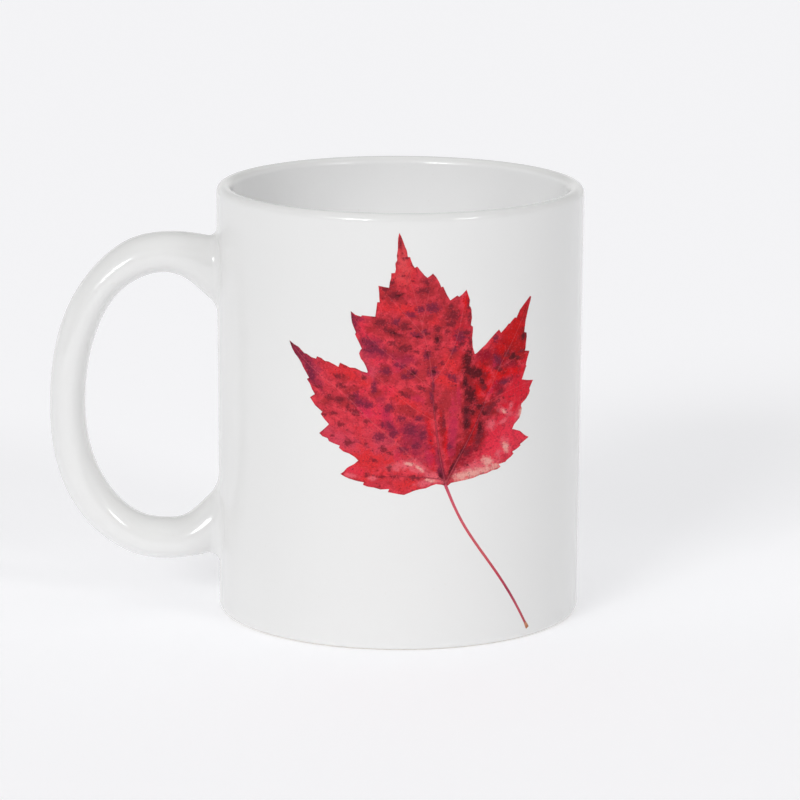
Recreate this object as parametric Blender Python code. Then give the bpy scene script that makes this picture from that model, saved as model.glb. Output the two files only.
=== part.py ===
"""Straight-sided ceramic mug with a C-shaped handle, fired as one solid.

Frame: +Z up, handle towards -X, origin in the middle of the mug's box on the surface it stands on.
The body is a turned profile. Its outer wall leaves two patches open, one for each root of the
handle, and the handle's skin grows out of those patches in a small fillet, so that wall and handle
are one closed surface.
"""
from math import cos, pi, radians, sin

import bmesh
import bpy
import numpy as np

MM = 0.001

# Body
BODY_HEIGHT = 96.5 * MM
RIM_RADIUS = 41.0 * MM
BASE_RADIUS = 40.6 * MM
LIP_WALL = 3.5 * MM
LOWER_WALL = 4.4 * MM
INNER_FLOOR = 8.0 * MM
INNER_CORNER = 9.0 * MM
BASE_CORNER = 1.3 * MM
FOOT_RING_WIDTH = 3.2 * MM
FOOT_RECESS = 1.6 * MM
RECESS_SLOPE = 1.8 * MM

# Handle: its outer and inner outlines, as (distance from the body's axis, height) pairs in mm,
# from the upper root round to the lower one. The first and last pair lie inside the wall.
HANDLE_STATIONS = (
    ((36.0, 83.2), (36.0, 64.9)),
    ((41.6, 84.7), (43.6, 71.8)),
    ((47.5, 85.7), (48.2, 75.6)),
    ((53.0, 85.8), (52.6, 76.8)),
    ((59.5, 84.5), (57.6, 75.7)),
    ((67.0, 79.3), (63.1, 71.7)),
    ((74.8, 67.6), (68.2, 62.1)),
    ((78.4, 48.5), (70.4, 48.5)),
    ((75.6, 28.7), (68.6, 34.6)),
    ((67.0, 16.6), (63.0, 25.0)),
    ((58.5, 11.9), (56.9, 20.9)),
    ((52.2, 11.1), (52.0, 20.3)),
    ((46.6, 11.6), (48.1, 21.0)),
    ((41.6, 12.7), (43.4, 25.0)),
    ((36.0, 14.4), (36.0, 32.0)),
)
HANDLE_REACH = 78.4 * MM
HANDLE_HALF_WIDTH = 6.2 * MM
SECTION_POWER = 2.3
UPPER_FILLET = 2.0 * MM
LOWER_FILLET = 3.0 * MM

# The body's axis stands off the origin, so that the box of body and handle is centred on it
BODY_X = (HANDLE_REACH - RIM_RADIUS) / 2

# How finely the surfaces are divided
SEGMENTS = 72
PATCH_HALF_COLUMNS = 3
PATCH_ROWS = 8
PATCH_RINGS = 2
PATCH_MARGIN = 3.2 * MM
FILLET_STEPS = 4
HANDLE_STEPS = 40
BASE_CORNER_STEPS = 4
LIP_STEPS = 10
INNER_CORNER_STEPS = 6
HALVINGS = 40

# Each root slants the handle's loops along this share of its length
SLANT_SHARE = 1 / 3

# Look of the plain model
GLAZE_COLOUR = (0.86, 0.86, 0.85, 1.0)
GLAZE_ROUGHNESS = 0.15
SMOOTH_ANGLE = radians(35)


def remove_objects():
    for item in list(bpy.data.objects):
        bpy.data.objects.remove(item, do_unlink=True)


def wall_radius(z):
    """Radius of the outer wall, which widens slightly from the base to the rim."""
    return BASE_RADIUS + (RIM_RADIUS - BASE_RADIUS) * z / BODY_HEIGHT


def arc(centre, radius, start, end, steps):
    """Points (r, z) along an arc, angles in degrees from the +r direction towards +z."""
    angles = np.radians(np.linspace(start, end, steps + 1))
    return [(centre[0] + radius * cos(a), centre[1] + radius * sin(a)) for a in angles]


def lower_profile():
    """Underside, from inside the recess out to the foot ring and up its outer corner."""
    ring_outer = wall_radius(0) - BASE_CORNER
    ring_inner = ring_outer - FOOT_RING_WIDTH
    recess_edge = ring_inner - RECESS_SLOPE
    recess = [(recess_edge / 2, FOOT_RECESS), (recess_edge, FOOT_RECESS)]
    corner = arc((ring_outer, BASE_CORNER), BASE_CORNER, -90, 0, BASE_CORNER_STEPS)
    return recess + [(ring_inner, 0.0)] + corner


def upper_profile():
    """Lip, inner wall and inner floor, from the outer wall's top edge inwards."""
    lip_radius = LIP_WALL / 2
    lip_centre = (RIM_RADIUS - lip_radius, BODY_HEIGHT - lip_radius)
    lip = arc(lip_centre, lip_radius, 0, 180, LIP_STEPS)
    corner_radius = wall_radius(INNER_FLOOR) - LOWER_WALL - INNER_CORNER
    corner_centre = (corner_radius, INNER_FLOOR + INNER_CORNER)
    corner = arc(corner_centre, INNER_CORNER, 0, -90, INNER_CORNER_STEPS)
    return lip + corner + [(corner_radius / 2, INNER_FLOOR)]


def lengths(vectors):
    return np.linalg.norm(vectors, axis=1)


def unit(vectors):
    return vectors / lengths(vectors)[:, None]


def natural_spline(knots, values, at):
    """Smooth curve through values at knots, with no bend at its two ends."""
    count = len(knots)
    gaps = np.diff(knots)
    slopes = np.diff(values, axis=0) / gaps[:, None]
    matrix = np.eye(count)
    bends = np.zeros_like(values)
    for i in range(1, count - 1):
        matrix[i, i - 1:i + 2] = gaps[i - 1], 2 * (gaps[i - 1] + gaps[i]), gaps[i]
        bends[i] = 6 * (slopes[i] - slopes[i - 1])
    bends = np.linalg.solve(matrix, bends)
    k = np.clip(np.searchsorted(knots, at, side="right") - 1, 0, count - 2)
    gap = gaps[k][:, None]
    low = (knots[k + 1] - at)[:, None]
    high = (at - knots[k])[:, None]
    cubic = (bends[k] * low**3 + bends[k + 1] * high**3) / (6 * gap)
    line = (values[k] / gap - bends[k] * gap / 6) * low
    return cubic + line + (values[k + 1] / gap - bends[k + 1] * gap / 6) * high


class Handle:
    """The handle's skin as rails: lines along it, one for each angle round its section."""

    def __init__(self, rails):
        self.stations = np.array(HANDLE_STATIONS) * MM
        middle = self.stations.mean(axis=1)
        steps = lengths(np.diff(middle, axis=0))
        self.knots = np.concatenate([[0.0], np.cumsum(steps)])
        self.length = self.knots[-1]
        turn = 2 * pi * np.arange(rails) / rails
        self.across = self.superellipse(np.cos(turn))
        self.along = self.superellipse(np.sin(turn))

    @staticmethod
    def superellipse(value):
        return np.sign(value) * np.abs(value) ** (2 / SECTION_POWER)

    def points(self, places):
        """One point on each rail, at that rail's own place: (reach, sideways, height)."""
        outer = natural_spline(self.knots, self.stations[:, 0], places)
        inner = natural_spline(self.knots, self.stations[:, 1], places)
        middle = (outer + inner) / 2
        half = (outer - inner) / 2
        reach_height = middle + half * self.along[:, None]
        sideways = HANDLE_HALF_WIDTH * self.across
        return np.column_stack([reach_height[:, 0], sideways, reach_height[:, 1]])

    def places_at_wall(self, inside, outside):
        """Where each rail passes through the outer wall, found by halving."""
        low = np.full(len(self.along), inside)
        high = np.full(len(self.along), outside)
        for _ in range(HALVINGS):
            middle = (low + high) / 2
            p = self.points(middle)
            outwards = np.hypot(p[:, 0], p[:, 1]) > wall_radius(p[:, 2])
            high = np.where(outwards, middle, high)
            low = np.where(outwards, low, middle)
        return high

    def root(self, inside, outside, fillet):
        """The fillet's loops from the wall outwards, and where its rails leave it."""
        towards = np.sign(outside - inside)
        meet = self.places_at_wall(inside, outside)
        corner = self.points(meet)
        nearby = self.points(meet + towards * fillet)
        leave = meet + towards * fillet**2 / lengths(nearby - corner)
        start = self.points(leave)
        ring = np.roll(corner, -1, axis=0) - np.roll(corner, 1, axis=0)
        facing = np.cross(start - corner, ring) * -towards
        wall = unit(corner * (1, 1, 0))
        spread = unit(facing - (facing * wall).sum(axis=1)[:, None] * wall)
        end = onto_wall(corner + fillet * spread)
        # each rail turns into the wall along an arc from its start to its end
        turn = (unit(corner - start) * unit(end - corner)).sum(axis=1)
        pull = np.sqrt((1 + turn) / 2)[:, None]
        loops = []
        for t in np.linspace(0, 1, FILLET_STEPS + 1):
            shares = (1 - t) ** 2, 2 * pull * t * (1 - t), t**2
            arc_point = end * shares[0] + corner * shares[1] + start * shares[2]
            loops.append(arc_point / sum(shares))
        return loops, leave

    def skin(self):
        """All loops from the upper root's fillet to the lower one's."""
        middle = self.length / 2
        upper, upper_leave = self.root(0.0, middle, UPPER_FILLET)
        lower, lower_leave = self.root(self.length, middle, LOWER_FILLET)
        upper_mean = upper_leave.mean()
        lower_mean = lower_leave.mean()
        loops = upper
        for step in range(1, HANDLE_STEPS):
            share = step / HANDLE_STEPS
            place = upper_mean + (lower_mean - upper_mean) * share
            near_upper = max(0.0, 1 - share / SLANT_SHARE) ** 2
            near_lower = max(0.0, 1 - (1 - share) / SLANT_SHARE) ** 2
            slant = (upper_leave - upper_mean) * near_upper
            slant += (lower_leave - lower_mean) * near_lower
            loops.append(self.points(place + slant))
        return loops + lower[::-1]


def onto_wall(points):
    """Move points sideways onto the outer wall, keeping their height and direction."""
    radius = np.hypot(points[:, 0], points[:, 1])
    scale = wall_radius(points[:, 2]) / radius
    return points * np.column_stack([scale, scale, np.ones_like(scale)])


class Surface:
    """Collects the mug's points in the body's own frame: (reach, sideways, height)."""

    def __init__(self):
        self.mesh = bmesh.new()

    def point(self, reach, sideways, height):
        return self.mesh.verts.new((BODY_X - reach, sideways, height))

    def ring(self, radius, height):
        turn = 2 * pi / SEGMENTS
        return [self.point(radius * cos(i * turn), radius * sin(i * turn), height)
                for i in range(SEGMENTS)]

    def loop(self, points):
        return [self.point(*p) for p in points]

    def face(self, corners):
        self.mesh.faces.new(corners)

    def bridge(self, first, second):
        """Close the strip between two loops of the same number of points."""
        for i in range(len(first)):
            j = (i + 1) % len(first)
            self.face((first[i], first[j], second[j], second[i]))

    def cap(self, loop, height):
        """Close a ring with a fan to a point on the axis."""
        tip = self.point(0.0, 0.0, height)
        for i in range(len(loop)):
            self.face((loop[i], loop[(i + 1) % len(loop)], tip))

    def finish(self, name, material):
        bmesh.ops.recalc_face_normals(self.mesh, faces=self.mesh.faces)
        mesh = bpy.data.meshes.new(name)
        self.mesh.to_mesh(mesh)
        self.mesh.free()
        mesh.materials.append(material)
        item = bpy.data.objects.new(name, mesh)
        bpy.context.scene.collection.objects.link(item)
        mesh.shade_smooth()
        mesh.set_sharp_from_angle(angle=SMOOTH_ANGLE)
        return item


def patch_heights(root_loop):
    """Heights of the rows across one root's patch, a margin past the fillet each way."""
    bottom = root_loop[:, 2].min() - PATCH_MARGIN
    top = root_loop[:, 2].max() + PATCH_MARGIN
    return np.linspace(bottom, top, PATCH_ROWS + 1)


def patch_edge(rings, columns):
    """The patch's edge points in the order of the rails, from the middle of its +Y side.

    The rings come in the order in which the handle's outer side lies, so the lower patch's are
    given from the top down.
    """
    half = PATCH_ROWS // 2
    right = [rings[row][columns] for row in range(half, PATCH_ROWS)]
    top = [rings[PATCH_ROWS][c] for c in range(columns, -columns, -1)]
    left = [rings[row][-columns] for row in range(PATCH_ROWS, 0, -1)]
    bottom = [rings[0][c] for c in range(-columns, columns)]
    start = [rings[row][columns] for row in range(0, half)]
    return right + top + left + bottom + start


def join_patch(surface, edge, root_loop):
    """Fill the wall between a patch's edge and the foot of the fillet, point for point."""
    place = np.array([v.co for v in edge])
    place[:, 0] = BODY_X - place[:, 0]
    last = edge
    for step in range(1, PATCH_RINGS):
        share = step / PATCH_RINGS
        blend = onto_wall(place * (1 - share) + root_loop * share)
        ring = surface.loop(blend)
        surface.bridge(last, ring)
        last = ring
    return last


def make_mug(material):
    surface = Surface()
    rails = 2 * (2 * PATCH_HALF_COLUMNS + PATCH_ROWS)
    skin = Handle(rails).skin()

    below = [surface.ring(r, z) for r, z in lower_profile()]
    surface.cap(below[0], FOOT_RECESS)
    above = [surface.ring(r, z) for r, z in upper_profile()]
    surface.cap(above[-1], INNER_FLOOR)
    lower_rows = [surface.ring(wall_radius(z), z) for z in patch_heights(skin[-1])]
    upper_rows = [surface.ring(wall_radius(z), z) for z in patch_heights(skin[0])]

    # plain bands run all the way round, and a patch's rows stop at its two sides
    for band in (below, above):
        for first, second in zip(band, band[1:]):
            surface.bridge(first, second)
    surface.bridge(below[-1], lower_rows[0])
    surface.bridge(lower_rows[-1], upper_rows[0])
    surface.bridge(upper_rows[-1], above[0])
    side = PATCH_HALF_COLUMNS
    for rows in (lower_rows, upper_rows):
        for first, second in zip(rows, rows[1:]):
            for i in range(side, SEGMENTS - side):
                j = (i + 1) % SEGMENTS
                surface.face((first[i], first[j], second[j], second[i]))

    # the handle's skin, from the upper patch to the lower one
    loops = [surface.loop(p) for p in skin]
    upper_edge = patch_edge(upper_rows, side)
    lower_edge = patch_edge(lower_rows[::-1], side)
    surface.bridge(join_patch(surface, upper_edge, skin[0]), loops[0])
    surface.bridge(join_patch(surface, lower_edge, skin[-1]), loops[-1])
    for first, second in zip(loops, loops[1:]):
        surface.bridge(first, second)

    # points inside the patches belong to no face
    loose = [v for v in surface.mesh.verts if not v.link_faces]
    bmesh.ops.delete(surface.mesh, geom=loose, context="VERTS")
    return surface.finish("mug", material)


def glaze():
    material = bpy.data.materials.new("white_glaze")
    material.use_nodes = True
    shader = material.node_tree.nodes["Principled BSDF"]
    shader.inputs["Base Color"].default_value = GLAZE_COLOUR
    shader.inputs["Roughness"].default_value = GLAZE_ROUGHNESS
    shader.inputs["Metallic"].default_value = 0.0
    material.diffuse_color = GLAZE_COLOUR
    return material


remove_objects()
make_mug(glaze())
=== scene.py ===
"""Looks of a white glazed mug with a red maple leaf printed on its side.

Frame: metres, +Z up, handle towards -X, printed side towards -Y. The mug is one fine surface on the
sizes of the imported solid. The leaf is drawn flat, with its outline, veins and coloured patches in
millimetres, and Geometry Nodes wrap it onto the wall.
"""

from math import cos, pi, radians, sin

import bmesh
import bpy
import numpy as np
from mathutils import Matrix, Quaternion, Vector
from mathutils.geometry import delaunay_2d_cdt


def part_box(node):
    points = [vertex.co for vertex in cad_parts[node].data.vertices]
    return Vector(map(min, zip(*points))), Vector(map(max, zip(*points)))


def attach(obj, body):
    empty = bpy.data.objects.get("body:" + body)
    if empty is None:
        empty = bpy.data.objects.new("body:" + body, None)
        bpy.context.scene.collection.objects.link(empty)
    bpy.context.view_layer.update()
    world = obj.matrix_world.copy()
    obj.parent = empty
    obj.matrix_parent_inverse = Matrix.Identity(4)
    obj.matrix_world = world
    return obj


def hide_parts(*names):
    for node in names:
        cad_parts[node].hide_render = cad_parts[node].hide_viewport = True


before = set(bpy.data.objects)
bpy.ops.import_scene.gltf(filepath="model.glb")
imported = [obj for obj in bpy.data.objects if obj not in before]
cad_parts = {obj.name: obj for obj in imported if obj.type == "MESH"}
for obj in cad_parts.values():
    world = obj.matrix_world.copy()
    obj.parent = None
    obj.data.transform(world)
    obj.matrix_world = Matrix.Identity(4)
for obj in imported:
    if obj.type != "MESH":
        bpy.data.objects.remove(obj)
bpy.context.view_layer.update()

MM = 0.001

# Body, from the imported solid: it touches the box at its right side, its back and its top
_, MUG_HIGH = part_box("mug")
BODY_HEIGHT = MUG_HIGH.z
RIM_RADIUS = MUG_HIGH.y
BODY_X = MUG_HIGH.x - RIM_RADIUS
WALL_LEAN = 0.4 * MM
BASE_RADIUS = RIM_RADIUS - WALL_LEAN
LIP_WALL = 3.5 * MM
LOWER_WALL = 4.4 * MM
INNER_FLOOR = 8.0 * MM
INNER_CORNER = 9.0 * MM
BASE_CORNER = 1.3 * MM
FOOT_RING_WIDTH = 3.2 * MM
FOOT_RECESS = 1.6 * MM
RECESS_SLOPE = 1.8 * MM
BARE_HEIGHT = 0.4 * MM

# Handle: its outer and inner outlines, as (distance from the body's axis, height) pairs in mm,
# from the upper root round to the lower one. The first and last pair lie inside the body.
HANDLE_STATIONS = (
    ((36.0, 83.2), (36.0, 64.9)),
    ((41.6, 84.7), (43.6, 71.8)),
    ((47.5, 85.7), (48.2, 75.6)),
    ((53.0, 85.8), (52.6, 76.8)),
    ((59.5, 84.5), (57.6, 75.7)),
    ((67.0, 79.3), (63.1, 71.7)),
    ((74.8, 67.6), (68.2, 62.1)),
    ((78.4, 48.5), (70.4, 48.5)),
    ((75.6, 28.7), (68.6, 34.6)),
    ((67.0, 16.6), (63.0, 25.0)),
    ((58.5, 11.9), (56.9, 20.9)),
    ((52.2, 11.1), (52.0, 20.3)),
    ((46.6, 11.6), (48.1, 21.0)),
    ((41.6, 12.7), (43.4, 25.0)),
    ((36.0, 14.4), (36.0, 32.0)),
)
HANDLE_HALF_WIDTH = 6.2 * MM
UPPER_FILLET = 2.0 * MM
LOWER_FILLET = 3.0 * MM
# The loops stand aslant near each root, as the root does, over this share of the handle's length
SLANT_SHARE = 1 / 3

# How finely the mug's surface is divided. A collar is the piece of wall round a root of the handle,
# and a ring's share is of the recess's or the inner floor's radius.
SEGMENTS = 192
COLLAR_HALF_COLUMNS = 8
COLLAR_ROWS = 22
COLLAR_RINGS = 5
COLLAR_MARGIN = 3.2 * MM
FILLET_STEPS = 10
HANDLE_STEPS = 150
BASE_CORNER_STEPS = 10
LIP_STEPS = 28
INNER_CORNER_STEPS = 20
RECESS_RINGS = (0.25, 0.5, 0.75, 0.97)
FLOOR_RINGS = (0.75, 0.5, 0.25)
# The recess's slope: shares of its width in from the foot ring, and of the recess's height
SLOPE_POINTS = ((1.0, 0.98), (0.5, 0.55))
HALVINGS = 40
SMOOTH_ANGLE = radians(35)

# Print: (across, up) in mm, where across runs along the wall from the middle of the front and up is
# the height. Across is measured on this radius.
PRINT_RADIUS = 40.8 * MM
PRINT_LIFT = 0.03 * MM
PRINT_SINK = 0.04 * MM
MERGE_DISTANCE = 0.001 * MM
# The flat leaf's triangles, and how far they keep from its edge and its veins, in mm
PRINT_GRID = 0.42
PRINT_CLEARANCE = 0.2
POINT_TOLERANCE = 1e-5

# The leaf's outline, anticlockwise from the tip of its middle lobe
MIDDLE_LOBE_LEFT = (
    (-2.3, 92.6), (-2.55, 91.3), (-2.6, 89.0), (-2.8, 87.6), (-2.7, 86.7), (-3.1, 85.9),
    (-3.0, 84.8), (-3.15, 83.9), (-3.95, 83.85), (-4.0, 82.75), (-4.25, 81.9), (-4.4, 80.65),
    (-6.7, 81.05), (-6.55, 79.8), (-6.5, 78.4), (-6.4, 77.5), (-6.95, 77.45), (-7.1, 76.1),
    (-7.35, 74.3), (-9.0, 74.4), (-10.2, 74.5), (-10.45, 74.2), (-11.7, 74.55), (-12.7, 75.3),
    (-12.55, 73.6), (-12.4, 72.75), (-11.9, 71.5), (-11.55, 70.75), (-11.75, 70.25),
    (-11.1, 69.0), (-10.25, 67.2), (-10.55, 66.9), (-10.85, 66.1), (-10.45, 65.0), (-9.8, 64.2),
    (-9.3, 63.2), (-8.95, 62.2), (-9.1, 61.95),
)
LEFT_LOBE = (
    (-10.25, 62.25), (-11.7, 62.9), (-12.95, 62.95), (-13.7, 63.3), (-15.1, 63.85),
    (-15.45, 62.9), (-16.5, 63.4), (-17.75, 63.9), (-18.6, 63.95), (-19.4, 64.5), (-20.45, 64.8),
    (-20.7, 64.25), (-21.9, 64.5), (-22.95, 65.1), (-23.6, 65.2), (-24.1, 65.6), (-25.05, 66.4),
    (-26.3, 66.9), (-27.45, 67.55), (-26.8, 66.0), (-26.0, 64.85), (-25.05, 63.9),
    (-24.3, 62.9), (-24.0, 62.25), (-23.3, 61.2), (-22.4, 59.9), (-22.95, 59.55), (-22.2, 58.6),
    (-21.7, 57.45), (-21.0, 56.4), (-22.2, 55.6), (-21.7, 54.95), (-20.9, 53.9), (-20.05, 53.3),
    (-19.2, 52.65), (-19.6, 52.15), (-18.8, 51.2), (-17.65, 50.05), (-18.8, 48.9),
    (-19.95, 47.9), (-19.2, 47.25), (-17.95, 46.9), (-17.65, 46.3), (-16.5, 45.9),
    (-15.15, 45.5), (-15.35, 45.05), (-14.4, 44.3), (-13.05, 43.9), (-11.9, 43.3), (-11.0, 42.5),
)
LOWER_EDGE = (
    (-11.8, 41.7), (-13.05, 41.0), (-13.6, 40.6), (-14.2, 39.85), (-15.0, 39.25), (-14.2, 38.8),
    (-13.2, 38.4), (-12.0, 38.1), (-11.1, 37.9), (-9.75, 37.7), (-9.95, 37.15), (-9.0, 36.8),
    (-7.4, 36.6), (-6.1, 36.25), (-4.2, 36.4), (-4.5, 35.7), (-3.4, 35.5), (-2.1, 35.25),
    (-1.0, 35.1), (0.2, 35.6), (1.0, 35.95), (2.25, 36.3), (3.7, 36.5), (4.95, 37.05),
    (6.0, 37.35), (7.25, 37.15), (8.0, 36.85), (8.6, 36.9), (9.3, 37.45), (11.0, 37.7),
    (12.7, 37.9), (14.5, 38.2), (16.0, 38.7), (17.7, 38.9), (19.1, 39.4), (20.3, 39.5),
    (21.2, 39.95), (20.7, 40.6), (22.5, 40.9), (22.9, 41.3), (23.9, 41.8), (24.7, 42.45),
    (24.3, 42.9), (25.6, 43.4), (26.7, 44.0), (26.5, 44.3), (27.7, 44.85), (29.1, 45.55),
)
RIGHT_LOBE = (
    (28.1, 46.0), (27.25, 46.6), (26.5, 47.25), (25.2, 47.7), (24.2, 48.0), (24.75, 49.0),
    (25.4, 49.5), (26.2, 50.2), (26.7, 51.2), (26.9, 52.3), (26.6, 52.8), (26.8, 53.3),
    (28.1, 54.2), (28.9, 55.1), (29.25, 55.8), (29.1, 56.4), (29.65, 57.25), (30.2, 58.1),
    (28.5, 58.3), (26.8, 58.7), (27.35, 59.95), (27.9, 61.2), (28.1, 61.5), (27.9, 61.8),
    (28.3, 63.1), (28.95, 64.75), (27.5, 65.0), (27.7, 65.3), (27.9, 67.0), (28.05, 68.0),
    (28.0, 68.9), (27.3, 69.15), (27.45, 70.3), (27.7, 71.75), (28.0, 72.8), (28.5, 74.5),
    (29.05, 75.9), (29.25, 76.75), (28.85, 76.85), (28.0, 76.1), (27.1, 75.3), (26.0, 74.25),
    (25.0, 72.55), (24.6, 72.7), (24.3, 72.5), (23.1, 71.4), (23.0, 71.6), (22.1, 70.7),
    (20.9, 69.7), (20.4, 70.5), (20.0, 70.2), (19.4, 69.7), (18.1, 68.5), (17.1, 67.5),
    (16.0, 66.65), (15.0, 65.8), (14.5, 65.6),
)
MIDDLE_LOBE_RIGHT = (
    (14.0, 67.2), (13.85, 69.25), (14.0, 70.7), (14.0, 71.65), (13.5, 72.05), (13.75, 73.6),
    (13.6, 75.5), (13.4, 76.0), (13.1, 76.3), (13.25, 77.6), (12.8, 78.8), (12.45, 79.85),
    (11.65, 79.05), (10.8, 78.4), (10.35, 78.7), (9.4, 78.1), (8.8, 77.7), (8.0, 79.05),
    (7.2, 80.8), (6.8, 80.7), (6.25, 81.95), (5.6, 83.0), (4.95, 83.7), (4.5, 83.3),
    (3.75, 82.8), (3.1, 83.4), (2.6, 84.0), (1.55, 85.3), (1.05, 85.0), (0.6, 85.7),
    (0.2, 86.75), (0.05, 87.35), (-0.45, 87.4), (-0.65, 88.7), (-1.0, 89.5), (-1.5, 90.9),
    (-1.9, 91.9),
)
LEAF_OUTLINE = MIDDLE_LOBE_LEFT + LEFT_LOBE + LOWER_EDGE + RIGHT_LOBE + MIDDLE_LOBE_RIGHT

# Veins: half width in mm where it starts, and its points from there to its end. They are drawn in
# steps of a length in mm, and each ends at a share of its first width.
VEIN_STEP = 0.5
VEIN_TAPER = 0.45
PALE_VEINS = (
    (0.28, ((7.5, 38.0), (3.5, 41.2), (0.5, 43.5), (-2.0, 46.0), (-5.5, 49.0), (-9.5, 52.5),
            (-13.0, 56.0), (-17.0, 59.0), (-22.0, 62.5), (-27.0, 67.2))),
    (0.14, ((5.0, 60.0), (4.2, 66.0), (2.5, 73.0), (0.8, 80.0), (-0.6, 85.0), (-2.2, 92.0))),
    (0.16, ((5.2, 60.0), (8.0, 64.0), (9.3, 66.5), (11.0, 72.0), (12.4, 79.3))),
    (0.14, ((4.9, 58.5), (0.0, 62.5), (-5.0, 66.5), (-9.0, 70.0), (-12.4, 74.6))),
    (0.13, ((3.3, 70.0), (-1.0, 75.0), (-6.5, 80.8))),
    (0.12, ((2.7, 72.5), (4.9, 83.4))),
    (0.14, ((6.3, 51.0), (0.0, 55.0), (-5.0, 59.5), (-8.9, 62.2))),
    (0.18, ((17.0, 54.5), (18.5, 58.0), (20.5, 62.0), (23.0, 66.0), (26.0, 71.0), (29.0, 76.3))),
    (0.14, ((8.8, 37.9), (14.0, 41.6), (20.0, 44.2), (28.5, 45.4))),
    (0.12, ((-2.0, 46.0), (-10.0, 47.6), (-19.5, 47.9))),
    (0.12, ((-9.5, 52.5), (-15.0, 53.5), (-21.8, 55.6))),
    (0.12, ((17.0, 54.5), (23.0, 56.6), (29.8, 58.0))),
    (0.12, ((20.5, 62.0), (24.0, 63.4), (28.7, 64.6))),
)
DARK_VEINS = (
    (0.26, ((8.1, 37.2), (6.6, 44.5), (5.9, 50.0), (5.2, 56.0), (5.0, 60.0))),
    (0.34, ((8.3, 37.8), (10.5, 42.0), (13.0, 46.5), (15.0, 50.3), (17.0, 54.5))),
    (0.10, ((7.7, 38.2), (3.5, 38.9), (1.0, 39.0), (-5.0, 39.8))),
)

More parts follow.
